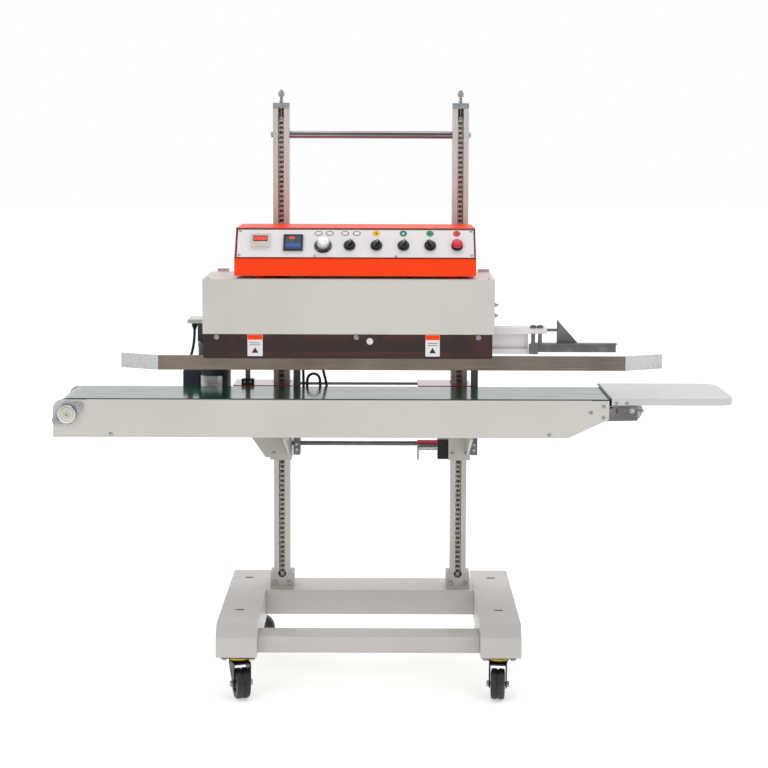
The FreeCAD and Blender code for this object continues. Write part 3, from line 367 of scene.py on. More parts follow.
FINISHES = {
    "frame_paint": frame_paint, "mast_steel": mast_paint, "cast_grey": cast_grey, "zinc": zinc,
    "chain_steel": chain_steel, "chrome": chrome, "black_steel": black_steel, "cover_paint": cover_paint,
    "tinted_acrylic": tinted_acrylic, "orange_paint": orange_paint, "panel_white": panel_white,
    "panel_plastic": panel_plastic, "black_plastic": black_plastic, "red_plastic": red_plastic,
    "seal_band": seal_band, "brass_block": brass_block, "motor_paint": motor_paint,
    "bright_aluminium": bright_aluminium, "dark_steel": dark_steel, "cable_rubber": cable_rubber,
    "green_belt": green_belt, "table_paint": table_paint, "stainless": stainless,
    "roller_rubber": roller_rubber, "wheel_rubber": wheel_rubber,
}
EXTRA_FINISHES = {
    "slate_plastic": slate_plastic, "blue_plastic": blue_plastic, "yellow_print": yellow_print,
    "teal_print": teal_print, "green_print": green_print, "dark_trim_and_lid_shade": dark_trim_and_lid_shade,
    "display_red": display_red, "zinc_yellow": zinc_yellow,
    "polished_bar": polished_bar, "lit_segment": lit_segment, "shaded_orange_paint": shaded_orange_paint,
}
MATERIALS = {name: make("looks_" + name) for name, make in {**FINISHES, **EXTRA_FINISHES}.items()}


# ---------------------------------------------------------------- mesh pieces

AXES = {"X": (1, 2, 0), "Y": (2, 0, 1), "Z": (0, 1, 2)}
# the radius of a ring at an angle, as a share of the ring's own radius
RING_SHAPES = {
    "round": lambda angle: 1.0,
    "hex": lambda angle: math.cos(math.pi / 6) / math.cos((angle % (math.pi / 3)) - math.pi / 6),
    "cross": lambda angle: min(1.0, 0.26 / max(1e-6, abs(math.sin((angle + math.pi / 4) % (math.pi / 2)
                                                                    - math.pi / 4)))),
}


def panel_place():
    """Panel coordinates to the frame's: X across, Y up the slope and Z out of it."""
    up = (0, math.sin(PANEL_TILT), math.cos(PANEL_TILT))
    out = (0, -math.cos(PANEL_TILT), math.sin(PANEL_TILT))
    rows = [((1, 0, 0)[i], up[i], out[i], (MID, -183, 1080)[i]) for i in range(3)]
    return Matrix([*rows, (0, 0, 0, 1)])


PANEL = panel_place()


class Shape:
    """Collects the faces of one piece, in millimetres, and then makes its object."""

    def __init__(self, place=None):
        self.bm = bmesh.new()
        self.place = place or Matrix.Identity(4)
        self.paint = 0

    def vertex(self, point):
        return self.bm.verts.new(self.place @ Vector(point))

    def face(self, corners):
        made = self.bm.faces.new(corners)
        made.material_index = self.paint
        return made

    def box(self, low, high):
        outline = ((low[0], low[1]), (high[0], low[1]), (high[0], high[1]), (low[0], high[1]))
        corners = [[self.vertex((x, y, z)) for x, y in outline] for z in (low[2], high[2])]
        self.face(corners[0])
        self.face(corners[1])
        for i in range(4):
            j = (i + 1) % 4
            self.face((corners[0][i], corners[0][j], corners[1][j], corners[1][i]))

    def prism(self, axis, outline, low, high):
        """A straight-sided outline on an axis's two cross axes, run from low to high along that axis."""
        u, v, w = AXES[axis]
        ends = []
        for level in (low, high):
            ring = []
            for a, b in outline:
                point = [0.0, 0.0, 0.0]
                point[u], point[v], point[w] = a, b, level
                ring.append(self.vertex(point))
            ends.append(ring)
        self.bridge(ends, False)
        self.face(ends[0])
        self.face(ends[1])

    def bridge(self, rings, closed):
        count = len(rings[0])
        pairs = list(zip(rings, rings[1:]))
        if closed:
            pairs.append((rings[-1], rings[0]))
        for near, far in pairs:
            for i in range(count):
                j = (i + 1) % count
                self.face((near[i], near[j], far[j], far[i]))

    def lathe(self, axis, centre, rings, steps=32, closed=False, turn=0.0):
        """Rings (radius, level, shape) about an axis, joined in order. closed makes a hollow ring."""
        u, v, w = AXES[axis]
        made = []
        for radius, level, *kind in rings:
            outline = RING_SHAPES[kind[0] if kind else "round"]
            ring = []
            for i in range(steps):
                angle = 2 * math.pi * i / steps
                point = list(centre)
                point[u] += radius * outline(angle) * math.cos(angle + turn)
                point[v] += radius * outline(angle) * math.sin(angle + turn)
                point[w] += level
                ring.append(self.vertex(point))
            made.append(ring)
        self.bridge(made, closed)
        if not closed:
            self.face(made[0])
            self.face(made[-1])

    def done(self, name, body, *slots, replaces=(), bevel=0.0, angle=35):
        bmesh.ops.recalc_face_normals(self.bm, faces=self.bm.faces)
        mesh = bpy.data.meshes.new(name)
        self.bm.to_mesh(mesh)
        self.bm.free()
        mesh.transform(Matrix.Scale(MM, 4))
        for slot in slots:
            mesh.materials.append(MATERIALS[slot])
        mesh.polygons.foreach_set("use_smooth", [True] * len(mesh.polygons))
        mesh.set_sharp_from_angle(angle=math.radians(angle))
        obj = bpy.data.objects.new(name, mesh)
        bpy.context.scene.collection.objects.link(obj)
        if bevel:
            soften(obj, bevel)
        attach(obj, body)
        if replaces:
            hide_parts(*replaces)
        return obj


def soften(obj, width, segments=2):
    """Rolls an object's sharp edges over by a width in millimetres."""
    bevel = obj.modifiers.new("edges", "BEVEL")
    bevel.width = width * MM
    bevel.segments = segments
    bevel.limit_method = "ANGLE"
    bevel.angle_limit = math.radians(35)
    bevel.use_clamp_overlap = True
    bevel.harden_normals = False
    shading = obj.modifiers.new("shading", "WEIGHTED_NORMAL")
    shading.keep_sharp = True


# ---------------------------------------------------------------- CAD nodes that stay

EDGE_WIDTHS = {
    "side_beams": 2.5, "cross_beams": 2.5, "columns": 1.5, "column_ends": 1.2, "caster_plates": 0.6,
    "head_cover": 0.5, "head_plate": 0.8, "head_guides": 1.0, "guard": 0.6, "control_box": 1.6,
    "control_panel": 0.5, "conveyor_panels": 0.7, "extension_table": 1.2, "infeed_rails": 0.5,
    "infeed_bracket": 0.5, "rail": 0.5, "rail_posts": 0.7, "carriages": 1.4, "carriage_plates": 0.7,
    "lift_gearbox": 1.0, "sealing_blocks": 0.6, "switch_bezels": 0.8, "tension_brackets": 0.4,
    "flange_bearings": 1.2, "tie_rod": 0.6, "conveyor_bed": 0.5, "tail_roller": 0.8, "drive_roller": 1.0,
}


def dress_nodes():
    """Gives each CAD node its finish, and rolls its sharp edges over."""
    for name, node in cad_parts.items():
        slots = [m.name.split(".")[0] for m in node.data.materials]
        for i, slot in enumerate(slots):
            node.data.materials[i] = MATERIALS[slot]
        node.data.polygons.foreach_set("use_smooth", [True] * len(node.data.polygons))
        if name in EDGE_WIDTHS:
            weld = node.modifiers.new("weld", "WELD")
            weld.merge_threshold = 0.00002
            plain = node.modifiers.new("plain", "DECIMATE")
            plain.decimate_type = "DISSOLVE"
            plain.angle_limit = math.radians(0.3)
            soften(node, EDGE_WIDTHS[name])
            node.modifiers["shading"].keep_sharp = False


def repaint(name, slot, wanted):
    """Gives another finish to a CAD node's faces whose middle point, in millimetres, passes a test."""
    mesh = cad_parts[name].data
    mesh.materials.append(MATERIALS[slot])
    number = len(mesh.materials) - 1
    for polygon in mesh.polygons:
        if wanted(polygon.center / MM):
            polygon.material_index = number


# the carriage plates' red is painted shade: their orange paint in its shaded tone
WHOLE_FINISHES = {
    "carriage_plates": "shaded_orange_paint", "lift_gearbox": "black_steel", "flange_bearings": "zinc",
    "rail_posts": "dark_steel", "tie_rod": "polished_bar", "infeed_rails": "panel_white",
}


def repaint_nodes():
    for name, slot in WHOLE_FINISHES.items():
        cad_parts[name].data.materials[0] = MATERIALS[slot]
    repaint("caster_plates", "zinc_yellow", lambda p: p.z < 103.9 and abs(abs(p.x - MID) - 320) < 27
            and abs(abs(p.y) - 224) < 27)
    repaint("caster_plates", "zinc", lambda p: p.z < 103.9 and abs(abs(p.x - MID) - 320) > 27)
    repaint("column_ends", "zinc", lambda p: p.z > 1400)
    repaint("rail", "bright_aluminium", lambda p: p.x > 584 or p.x < -594)
    repaint("sealing_blocks", "bright_aluminium", lambda p: p.x > MID)
    repaint("lift_gearbox", "zinc", lambda p: p.x < MID + 176.1 and p.y < 59.5)
    repaint("carriage_plates", "polished_bar", lambda p: MID - 201 < p.x < MID + 124 and abs(p.y - 66) < 4.2)
    repaint("tension_brackets", "zinc", lambda p: p.x > 598.2)
    repaint("rail_posts", "black_steel", lambda p: p.z < 750 and p.x < MID - 300)


# ---------------------------------------------------------------- screws, nuts and washers

def pan_head(shape, axis, centre, way, radius, tall, drive="cross"):
    """A domed screw head with a recess, standing from centre along the axis one way or the other."""
    recess = 0.52 * radius
    rings = [(radius * 0.98, 0), (radius, tall * 0.25), (radius * 0.93, tall * 0.62),
             (radius * 0.74, tall * 0.9), (radius * 0.6, tall),
             (recess, tall, drive), (recess * 0.9, tall * 0.45, drive)]
    shape.lathe(axis, centre, [(r, way * level, *kind) for r, level, *kind in rings], 24)


def hex_head(shape, axis, centre, way, radius, tall, washer=0.0, turn=0.0):
    """A hexagon head or nut with a chamfered top, over a washer when one is asked for."""
    base = 0.0
    if washer:
        base = 1.2
        rings = [(washer, 0), (washer, base * 0.8), (washer - 0.3, base)]
        shape.lathe(axis, centre, [(r, way * level) for r, level in rings], 28)
    rings = [(radius, base, "hex"), (radius, tall * 0.8, "hex"), (radius * 0.84, tall), (radius * 0.3, tall)]
    shape.lathe(axis, centre, [(r, way * level, *kind) for r, level, *kind in rings], 36, turn=turn)


def head_screws():
    shape = Shape()
    for x in (-375, -32.4, 266.7):
        spot = (MID + x, -187, 887)
        shape.lathe("Y", spot, [(6.5, 0), (6.5, -1.1), (6.1, -1.5)], 32)
        pan_head(shape, "Y", (spot[0], -188.5, spot[2]), -1, 5, 4.4)
    shape.done("guard_screws", "head", "zinc")
    nut = Shape()
    nut.lathe("Y", (MID + 0.7, -187, 878), [(9, 0), (9, -7), (8, -9), (5.2, -9), (4.6, -7.6), (2, -7.6)], 32)
    nut.done("guard_nut", "head", "chrome")
    panel = Shape(PANEL)
    for x, up in [(x, up) for x in (-319, 249) for up in (8, 81)] + [(-134, 5), (64, 5)]:
        pan_head(panel, "Z", (x, up, PANEL_FACE), 1, 3.5, 2)
    panel.done("panel_screws", "head", "zinc")
    posts = Shape()
    for x in (406, 423):
        posts.lathe("Z", (MID + x, -126, 0), [(5, 866), (5, 889)], 20)
        hex_head(posts, "Z", (MID + x, -126, 904), 1, 8, 6.5, 0.0)
        posts.lathe("Z", (MID + x, -126, 910), [(3.6, 0), (3.6, 1.4), (3, 2)], 20)
    piece = posts.done("infeed_posts", "head", "dark_steel")
    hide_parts("head_screws")


def conveyor_screws():
    shape = Shape()
    spots = ((-694, 648), (381, 648), (483, 704), (514, 719), (514, 691), (545, 727), (571, 727))
    for x, z in spots:
        pan_head(shape, "Y", (x, -200, z), -1, 4.5, 3)
        pan_head(shape, "Y", (x, 30, z), 1, 4.5, 3)
    shape.done("conveyor_screw_heads", "conveyor", "zinc", replaces=["conveyor_screws"])


def column_screws():
    """The chain tension screws with their washers, nuts and domes, and the screws in the column feet."""
    shape = Shape()
    for x in COLUMN_X:
        spot = (x, 104, 0)
        thread = [(4.0 if i % 2 else 3.5, 1425 + i * 1.25) for i in range(44)]
        shape.lathe("Z", spot, thread, 16)
        shape.lathe("Z", spot, [(7, 1466), (7, 1467.5), (6.6, 1468)], 28)
        shape.lathe("Z", spot, [(8, 1479, "hex"), (8, 1489.5, "hex"), (7, 1491)], 36)
        dome = [(5.5 * math.cos(i * math.pi / 14), 1491 + 7 * math.sin(i * math.pi / 14)) for i in range(7)]
        shape.lathe("Z", spot, [*dome, (0.4, 1498)], 28)
        shape.box((x - 5, 100.5, 1419), (x + 5, 107.5, 1427))
        for offset in (-19, 19):
            hex_head(shape, "Y", (x + offset, 83.5, 203), -1, 6.4, 5, 0.0)
    shape.done("column_fasteners", "base", "zinc", replaces=["column_screws"])


# ---------------------------------------------------------------- roller chains and sprockets

CHAIN_PITCH = 12.7
LINK_STEPS = 8


def link_outline(z, reach, waist):
    """A chain link's side plate: two round ends and a waist, in the YZ plane."""
    points = []
    for end in (1, -1):
        for i in range(LINK_STEPS):
            angle = math.pi * (i + 0.5) / LINK_STEPS
            rise = CHAIN_PITCH / 2 + reach * math.sin(angle)
            points.append((104 + reach * math.cos(angle) * end, z + end * rise))
        points.append((104 - waist * end, z))
    return points


def roller_chains():
    shape = Shape()
    links = int((1422 - 222) / CHAIN_PITCH)
    for x in COLUMN_X:
        for k in range(links):
            z = 224 + (k + 0.5) * CHAIN_PITCH
            outside = k % 2
            near, far = (5.4, 6.8) if outside else (3.8, 5.2)
            for side in (-1, 1):
                ends = sorted((x + side * near, x + side * far))
                shape.prism("X", link_outline(z, 4.4, 3.0), *ends)
            shape.lathe("X", (x, 104, z + CHAIN_PITCH / 2), [(4.1, -3.7), (4.1, 3.7)], 16)
            shape.lathe("X", (x, 104, z + CHAIN_PITCH / 2), [(2.1, -7), (2.1, 7)], 10)
        shape.box((x - 5, 100.5, 214), (x + 5, 107.5, 227))
    shape.done("roller_chains", "base", "chain_steel", replaces=["lift_chains"])


def sprocket(shape, x, z, teeth=12):
    """A toothed wheel with its hub, on an X axis."""
    outline = []
    flanks = ((0.0, 19.6), (0.14, 19.6), (0.3, 22.6), (0.42, 24.0), (0.58, 24.0), (0.7, 22.6), (0.86, 19.6))
    for tooth in range(teeth):
        for share, radius in flanks:
            angle = 2 * math.pi * (tooth + share) / teeth
            outline.append((75.5 + radius * math.cos(angle), z + radius * math.sin(angle)))
    shape.prism("X", outline, x - 2.6, x + 2.6)
    shape.lathe("X", (x, 75.5, z), [(12, -3), (13, -2.6), (13, 2.6), (12, 3)], 28)


def lift_shafts():
    for name, z in (("head_lift_shaft", 962), ("conveyor_lift_shaft", 577)):
        shape = Shape()
        shape.lathe("X", (MID, 75.5, z), [(5.2, -266), (6, -265), (6, 265), (5.2, 266)], 28)
        for x in COLUMN_X:
            sprocket(shape, x, z)
        shape.done(name + "_looks", name + "_body", "dark_steel", replaces=[name])


# ---------------------------------------------------------------- casters

# each caster's side, end and swivel in degrees, as the photographed machine stands
CORNERS = {
    "front_left": (-1, -1, 18), "front_right": (1, -1, -6),
    "rear_left": (-1, 1, -90), "rear_right": (1, 1, 18),
}


def about(x, y, angle):
    """A turn about the upright axis through a point."""
    turn = Matrix.Rotation(math.radians(angle), 4, "Z")
    return Matrix.Translation((x, y, 0)) @ turn @ Matrix.Translation((-x, -y, 0))


def caster_wheels():
    """Twin-ribbed rubber tyres on grey hubs with bearing caps."""
    half = [(20, 16.4), (28, 16.6), (31, 17), (35.2, 16), (37, 13), (37.5, 9), (37.4, 4), (36.4, 2),
            (34.8, 1.5)]
    tyre = [(r, -level) for r, level in half] + half[::-1]
    flank = [(5.05, 17), (9, 17), (9.6, 16.2), (9.8, 13), (20.6, 12)]
    hub = [(r, -level) for r, level in flank] + flank[::-1]
    for corner, (across, along, angle) in CORNERS.items():
        x, y = MID + across * 320, along * 224
        centre = (x, y + along * 22, 37.5)
        wheel = Shape(about(x, y, angle))
        wheel.lathe("X", centre, tyre, 56, closed=True)
        wheel.paint = 1
        wheel.lathe("X", centre, hub, 40, closed=True)
        for i in range(6):
            turn = i * math.pi / 3
            spot = (centre[0], centre[1] + 15 * math.cos(turn), centre[2] + 15 * math.sin(turn))
            wheel.lathe("X", spot, [(2.2, -13.2), (2.4, -12), (2.4, 12), (2.2, 13.2)], 12)
        wheel.done(f"tyre_{corner}", f"wheel_{corner}", "wheel_rubber", "dark_steel",
                   replaces=[f"caster_wheel_{corner}"])


def caster_forks():
    """Pressed forks: a domed crown, a bridge and two cheeks that sweep to a bolted axle."""
    for corner, (across, along, angle) in CORNERS.items():
        x, y = MID + across * 320, along * 224
        axle = y + along * 22
        fork = Shape(about(x, y, angle))
        fork.lathe("Z", (x, y, 0), [(20, 94.7), (24, 94), (25, 91), (25, 88.4), (22, 88)], 36)
        for way in (-1, 1):
            sweep = [(y - along * 19, 90.5), (y - along * 19.5, 80), (y - along * 10, 66),
                     (axle - along * 12, 44), (axle - along * 10, 31),
                     (axle - along * 4, 26.8), (axle + along * 4, 26.8),
                     (axle + along * 10, 31), (axle + along * 12, 44), (axle + along * 13.5, 66),
                     (axle + along * 13, 90.5)]
            fork.prism("X", sweep, *sorted((x + way * 19, x + way * 22)))
        front, back = sorted((y - along * 18, axle + along * 13))
        fork.box((x - 21, front, 86.2), (x + 21, back, 90.5))
        fork.paint = 1
        fork.lathe("X", (x, axle, 37.5), [(4.98, -26), (4.98, 26)], 20)
        for way in (-1, 1):
            hex_head(fork, "X", (x + way * 22, axle, 37.5), way, 8, 6, 0.0)
        fork.done(f"fork_looks_{corner}", f"fork_{corner}", "black_steel", "zinc",
                  replaces=[f"caster_fork_{corner}"], bevel=0.6)


# ---------------------------------------------------------------- control panel

SWITCH_X = (-49.9, 15.8, 82.2, 147.8)
SWITCH_ANGLE = (-42, -42, -34, 38)
BUTTON_X = 213.7
DIAL_X = -114.7
ROW_UP = 36
SEGMENTS = {"0": "abcdef", "1": "bc", "2": "abged", "3": "abgcd", "4": "fgbc", "5": "afgcd", "6": "afgcde",
            "7": "abc", "8": "abcdefg", "9": "abcdfg"}


def segment_digits(shape, text, left, up, tall, out):
    """Seven-segment figures as thin raised bars."""
    wide, thick = tall * 0.52, tall * 0.13
    for i, figure in enumerate(text):
        x = left + i * wide * 1.5
        bars = {
            "a": (x, up + tall - thick, x + wide, up + tall), "d": (x, up, x + wide, up + thick),
            "g": (x, up + (tall - thick) / 2, x + wide, up + (tall + thick) / 2),
            "f": (x, up + tall / 2, x + thick, up + tall),
            "b": (x + wide - thick, up + tall / 2, x + wide, up + tall),
            "e": (x, up, x + thick, up + tall / 2),
            "c": (x + wide - thick, up, x + wide, up + tall / 2),
        }
        for bar in SEGMENTS[figure]:
            low_x, low_up, high_x, high_up = bars[bar]
            shape.box((low_x + 0.1, low_up + 0.1, out), (high_x - 0.1, high_up - 0.1, out + 0.15))


def bezel(shape, left, right, low, high, base, top, rim, depth):
    """A rectangular frame whose opening is set back by a depth, as one closed ring."""
    def ring(inset, out):
        spots = ((left + inset, low + inset), (right - inset, low + inset), (right - inset, high - inset),
                 (left + inset, high - inset))
        return [shape.vertex((x, up, out)) for x, up in spots]
    rings = [ring(0, base), ring(0, top - 1), ring(1, top), ring(rim - 1, top), ring(rim, top - depth)]
    shape.bridge(rings, False)
    shape.face(rings[0])
    shape.face(rings[-1])


def counter():
    shape = Shape(PANEL)
    bezel(shape, -292, -245, 31, 68, PANEL_FACE, PANEL_FACE + 8, 5, 2)
    for i in range(3):
        shape.box((-284 + i * 11.5, 37, PANEL_FACE + 6), (-277 + i * 11.5, 41.5, PANEL_FACE + 7.4))
    shape.paint = 1
    shape.box((-286, 45, PANEL_FACE + 5.8), (-251, 61.5, PANEL_FACE + 6.5))
    shape.paint = 2
    segment_digits(shape, "00000", -283, 49.5, 8, PANEL_FACE + 6.5)
    shape.done("counter_looks", "head", "panel_plastic", "display_red", "lit_segment",
               replaces=["counter"], bevel=0.25)


def temperature_controller():
    shape = Shape(PANEL)
    bezel(shape, -212, -164, 20.5, 66.5, PANEL_FACE, PANEL_FACE + 7, 4, 1.5)
    shape.paint = 1
    shape.box((-206.5, 42.5, PANEL_FACE + 5.4), (-169.5, 61.5, PANEL_FACE + 6))
    shape.paint = 2
    shape.box((-206.5, 25.5, PANEL_FACE + 5.4), (-169.5, 41, PANEL_FACE + 6.2))
    for i in range(4):
        shape.box((-204.5 + i * 9, 27.5, PANEL_FACE + 6.2), (-198.5 + i * 9, 31.5, PANEL_FACE + 7))
    shape.paint = 3
    segment_digits(shape, "185", -200, 52.3, 7.2, PANEL_FACE + 6)
    shape.paint = 4
    segment_digits(shape, "180", -198.5, 44.3, 5.4, PANEL_FACE + 6)
    shape.done("temperature_controller_looks", "head", "black_plastic", "slate_plastic", "blue_plastic",
               "lit_segment", "green_print", replaces=["temperature_controller"], bevel=0.2)


def selector_knobs():
    """Black turn knobs: a stepped skirt, a grip bar with sloped ends, and a white pointer line."""
    low = PANEL_FACE
    for number, (x, angle) in enumerate(zip(SWITCH_X, SWITCH_ANGLE), start=1):
        shape = Shape(PANEL @ about(x, ROW_UP, angle))
        shape.lathe("Z", (x, ROW_UP, 0), [(10.6, low + 1), (11, low + 2), (11, low + 7.6), (10.2, low + 8.6),
                                          (8, low + 9)], 40)
        grip = [(-10.4, low + 8.4), (10.4, low + 8.4), (10.1, low + 14), (8.8, low + 18), (7.4, low + 19),
                (-7.4, low + 19), (-8.8, low + 18), (-10.1, low + 14)]
        shape.prism("X", [(ROW_UP + a, b) for a, b in grip], x - 3.4, x + 3.4)
        shape.paint = 1
        shape.box((x - 1.2, ROW_UP - 1, low + 18.7), (x + 1.2, ROW_UP + 7.6, low + 19.0))
        mark = [(ROW_UP + 7.45, low + 18.97), (ROW_UP + 8.85, low + 17.97), (ROW_UP + 10.2, low + 13),
                (ROW_UP + 9.2, low + 13), (ROW_UP + 8, low + 17.6)]
        shape.prism("X", mark, x - 1.2, x + 1.2)
        shape.done(f"selector_knob_looks_{number}", f"selector_knob_{number}_body", "black_plastic",
                   "panel_white", replaces=[f"selector_knob_{number}"], bevel=0.5)


def speed_dial():
    """A black graduated skirt with a satin metal cap, fluted at its side and turned on top."""
    shape = Shape(PANEL)
    low, centre = PANEL_FACE, (DIAL_X, ROW_UP, 0)
    shape.paint = 1
    shape.lathe("Z", centre, [(3.1, 0.2), (3.1, low + 0.5)], 20)
    shape.lathe("Z", centre, [(21.6, low + 0.5), (22, low + 0.9), (22, low + 1.6), (17, low + 3.4),
                              (15, low + 3.6)], 72)
    shape.paint = 0
    shape.lathe("Z", centre, [(9.5, low + 18.4), (12.6, low + 18.6), (14, low + 18), (14.6, low + 16),
                              (15, low + 5), (15, low + 3.6)], 64)
    for i in range(48):
        angle = 2 * math.pi * i / 48
        spot = (DIAL_X + 14.7 * math.cos(angle), ROW_UP + 14.7 * math.sin(angle), 0)
        shape.lathe("Z", spot, [(0.3, low + 4), (0.6, low + 4.6), (0.5, low + 14.6), (0.2, low + 15.6)], 8)
    shape.lathe("Z", centre, [(9.4, low + 17), (9.4, low + 18.4), (8.8, low + 19), (0.6, low + 19)], 40)
    for i in range(31):
        dial_mark(shape, math.radians(225 - i * 9), *((17.4, 0.45) if i % 3 == 0 else (19, 0.28)))
    shape.done("speed_dial_looks", "speed_dial_body", "bright_aluminium", "black_plastic",
               replaces=["speed_dial"])


def dial_mark(shape, angle, inner, half):
    """One graduation on the dial's sloping skirt, from an inner radius out to its edge."""
    across = Vector((-math.sin(angle), math.cos(angle), 0)) * half
    along = Vector((math.cos(angle), math.sin(angle), 0))
    ends = [Vector((DIAL_X, ROW_UP, PANEL_FACE + 1.6 + (22 - r) / 5 * 1.8)) + along * r
            for r in (inner, 21.4)]
    rings = [[shape.vertex(end + side * across + Vector((0, 0, lift)))
              for side, lift in ((-1, -0.2), (1, -0.2), (1, 0.12), (-1, 0.12))] for end in ends]
    shape.bridge(rings, False)
    shape.face(rings[0])
    shape.face(rings[1])


def stop_button():
    shape = Shape(PANEL)
    low, centre = PANEL_FACE, (BUTTON_X, ROW_UP, 0)
    shape.lathe("Z", centre, [(10.4, low + 2), (10.4, low + 9.4)], 36)
    shape.paint = 1
    shape.lathe("Z", centre, [(9, low + 9.2), (12.6, low + 9.2), (13.5, low + 10.2), (13.4, low + 12),
                              (12, low + 13.8), (9, low + 14.7), (5, low + 15), (0.5, low + 15)], 48)
    shape.done("stop_button_looks", "stop_button_body", "black_plastic", "red_plastic",
               replaces=["stop_button"])


def ellipse(x, up, wide, tall, steps=36):
    return [(x + wide * math.cos(2 * math.pi * i / steps), up + tall * math.sin(2 * math.pi * i / steps))
            for i in range(steps)]


def panel_labels():
    """Plain printed discs and ovals above the controls, with no lettering."""
    low = PANEL_FACE
    ovals = Shape(PANEL)
    for x in (-126.5, -99, -61.1, -32.5):
        ovals.paint = 0
        ovals.prism("Z", ellipse(x, 73.5, 9.8, 6.8), low, low + 0.25)
        ovals.paint = 1
        ovals.prism("Z", ellipse(x, 73.5, 8, 5), low + 0.2, low + 0.35)
    ovals.done("oval_labels", "head", "black_plastic", "panel_white")
    for name, x, slot, mark in (("yellow", 15.8, "yellow_print", "black_plastic"),
                                ("teal", 82.2, "teal_print", "panel_white"),
                                ("green", 147.8, "green_print", "black_plastic"),
                                ("red", BUTTON_X, "red_plastic", "black_plastic")):
        disc = Shape(PANEL)
        disc.prism("Z", ellipse(x, 73.5, 9.2, 9.2), low, low + 0.25)
        disc.paint = 1
        disc.prism("Z", ellipse(x, 73.5, 2.6, 2.6, 20), low + 0.2, low + 0.35)
        disc.done(f"label_{name}", "head", slot, mark)


def panel_trim_and_lid_shade():
    """The dark red line round the control panel, its top band widened into painted shade under the lid's
    overhang.
    """
    shape = Shape(PANEL)
    left, right, low, high = -329, 259, 0.2, 88.6
    # the top band, 4.4 deep, is painted shade: the dark gap under the control box's lid
    for box in ((left, low, right, low + 1.3), (left, high - 4.4, right, high), (left, low, left + 3.2, high),
                (right - 3.2, low, right, high)):
        shape.box((box[0], box[1], 0), (box[2], box[3], PANEL_FACE + 0.6))
    shape.done("panel_trim_and_lid_shade", "head", "dark_trim_and_lid_shade", "orange_paint", bevel=0.25)


# ---------------------------------------------------------------- sealing head details

def guard_labels():
    """Two plain two-tone stickers on the guard, with a generic mark in place of words."""
    shape = Shape()
    for left, right in ((MID - 299, MID - 262), (MID + 137, MID + 172)):
        shape.paint = 1
        shape.box((left, -187.45, 840), (right, -187.0, 893))
        shape.paint = 0
        shape.box((left + 0.6, -187.7, 880.5), (right - 0.6, -187.3, 892.4))
        shape.paint = 2
        middle = (left + right) / 2
        shape.prism("Y", [(848, middle - 8), (848, middle + 8), (862, middle)], -187.7, -187.3)
        for z in (867, 872):
            shape.box((left + 5, -187.65, z), (right - 5, -187.3, z + 1.4))
    shape.done("guard_labels", "head", "orange_paint", "panel_white", "black_plastic")


def drive_motor():
    """The gear motor: a finned case between two end bells, a square gearhead and a terminal box."""
    x, y = MID - 407, 88
    shape = Shape()
    rings = [(30, 700), (38, 700), (42, 703), (43, 708), (43, 718)]
    for i in range(22):
        z = 722 + i * 5.0
        rings += [(41.2, z - 1.4), (41.2, z + 0.6), (43, z + 1.2), (43, z + 3.0)]
    rings += [(43, 834), (43, 846), (41.5, 849), (20, 849)]
    shape.lathe("Z", (x, y, 0), rings, 64)
    shape.box((x - 40, y - 40, 848), (x + 40, y + 40, 894))
    shape.paint = 1
    for i in (-1, 1):
        for j in (-1, 1):
            hex_head(shape, "Z", (x + i * 33, y + j * 33, 848), -1, 4.2, 5)
    shape.paint = 0
    shape.box((x - 81, y - 18, 700), (x - 38, y + 18, 768))
    shape.box((x - 79.5, y - 16.5, 767), (x - 39, y + 16.5, 770))
    shape.done("drive_motor_looks", "head", "motor_paint", "zinc", replaces=["drive_motor"], bevel=0.8)


def motor_plate():
    """A blank nameplate wrapped on the motor's front."""
    shape = Shape()
    x, y = MID - 407, 88
    steps = 14
    outer, inner = [], []
    for i in range(steps + 1):
        angle = math.radians(-142 + i * 84 / steps)
        outer.append((x + 42.99 * math.cos(angle), y + 42.99 * math.sin(angle)))
        inner.append((x + 41.6 * math.cos(angle), y + 41.6 * math.sin(angle)))
    shape.prism("Z", outer + inner[::-1], 719, 757)
    shape.done("motor_nameplate", "head", "bright_aluminium")


def head_back():
    """Louvres and screws on the control box's back, and bolt ends on the head cover's side."""
    slats = Shape()
    for group in (-200, 120):
        for i in range(7):
            z = 1066 + i * 9
            slat = [(65.0, z), (64.2, z + 5.4), (62.6, z + 5.4), (62.6, z)]
            slats.prism("X", slat, MID + group - 45, MID + group + 45)
    slats.done("back_louvres", "head", "black_steel")
    bolts = Shape()
    for x in (-322, -40, 250):
        for z in (1044, 1146):
            pan_head(bolts, "Y", (MID + x, 65, z), 1, 3.6, 2.4)
    for y, z in ((-150, 964), (-150, 938), (10, 964), (10, 938)):
        hex_head(bolts, "X", (MID + 306, y, z), 1, 6, 5, 8)
        bolts.lathe("X", (MID + 311, y, z), [(3.4, -1), (3.4, 5), (2.8, 6)], 20)
    for x in (-395, 292):
        pan_head(bolts, "Z", (MID + x, -176, 1030), 1, 3.5, 2.2)
    bolts.done("head_fasteners", "head", "zinc")
    tabs = Shape()
    for x in (-394, 276):
        tabs.box((MID + x, 45.5, 1029), (MID + x + 30, 47.9, 1037.5))
    tabs.done("cover_tabs", "head", "cover_paint", bevel=0.4)


# ---------------------------------------------------------------- conveyor details

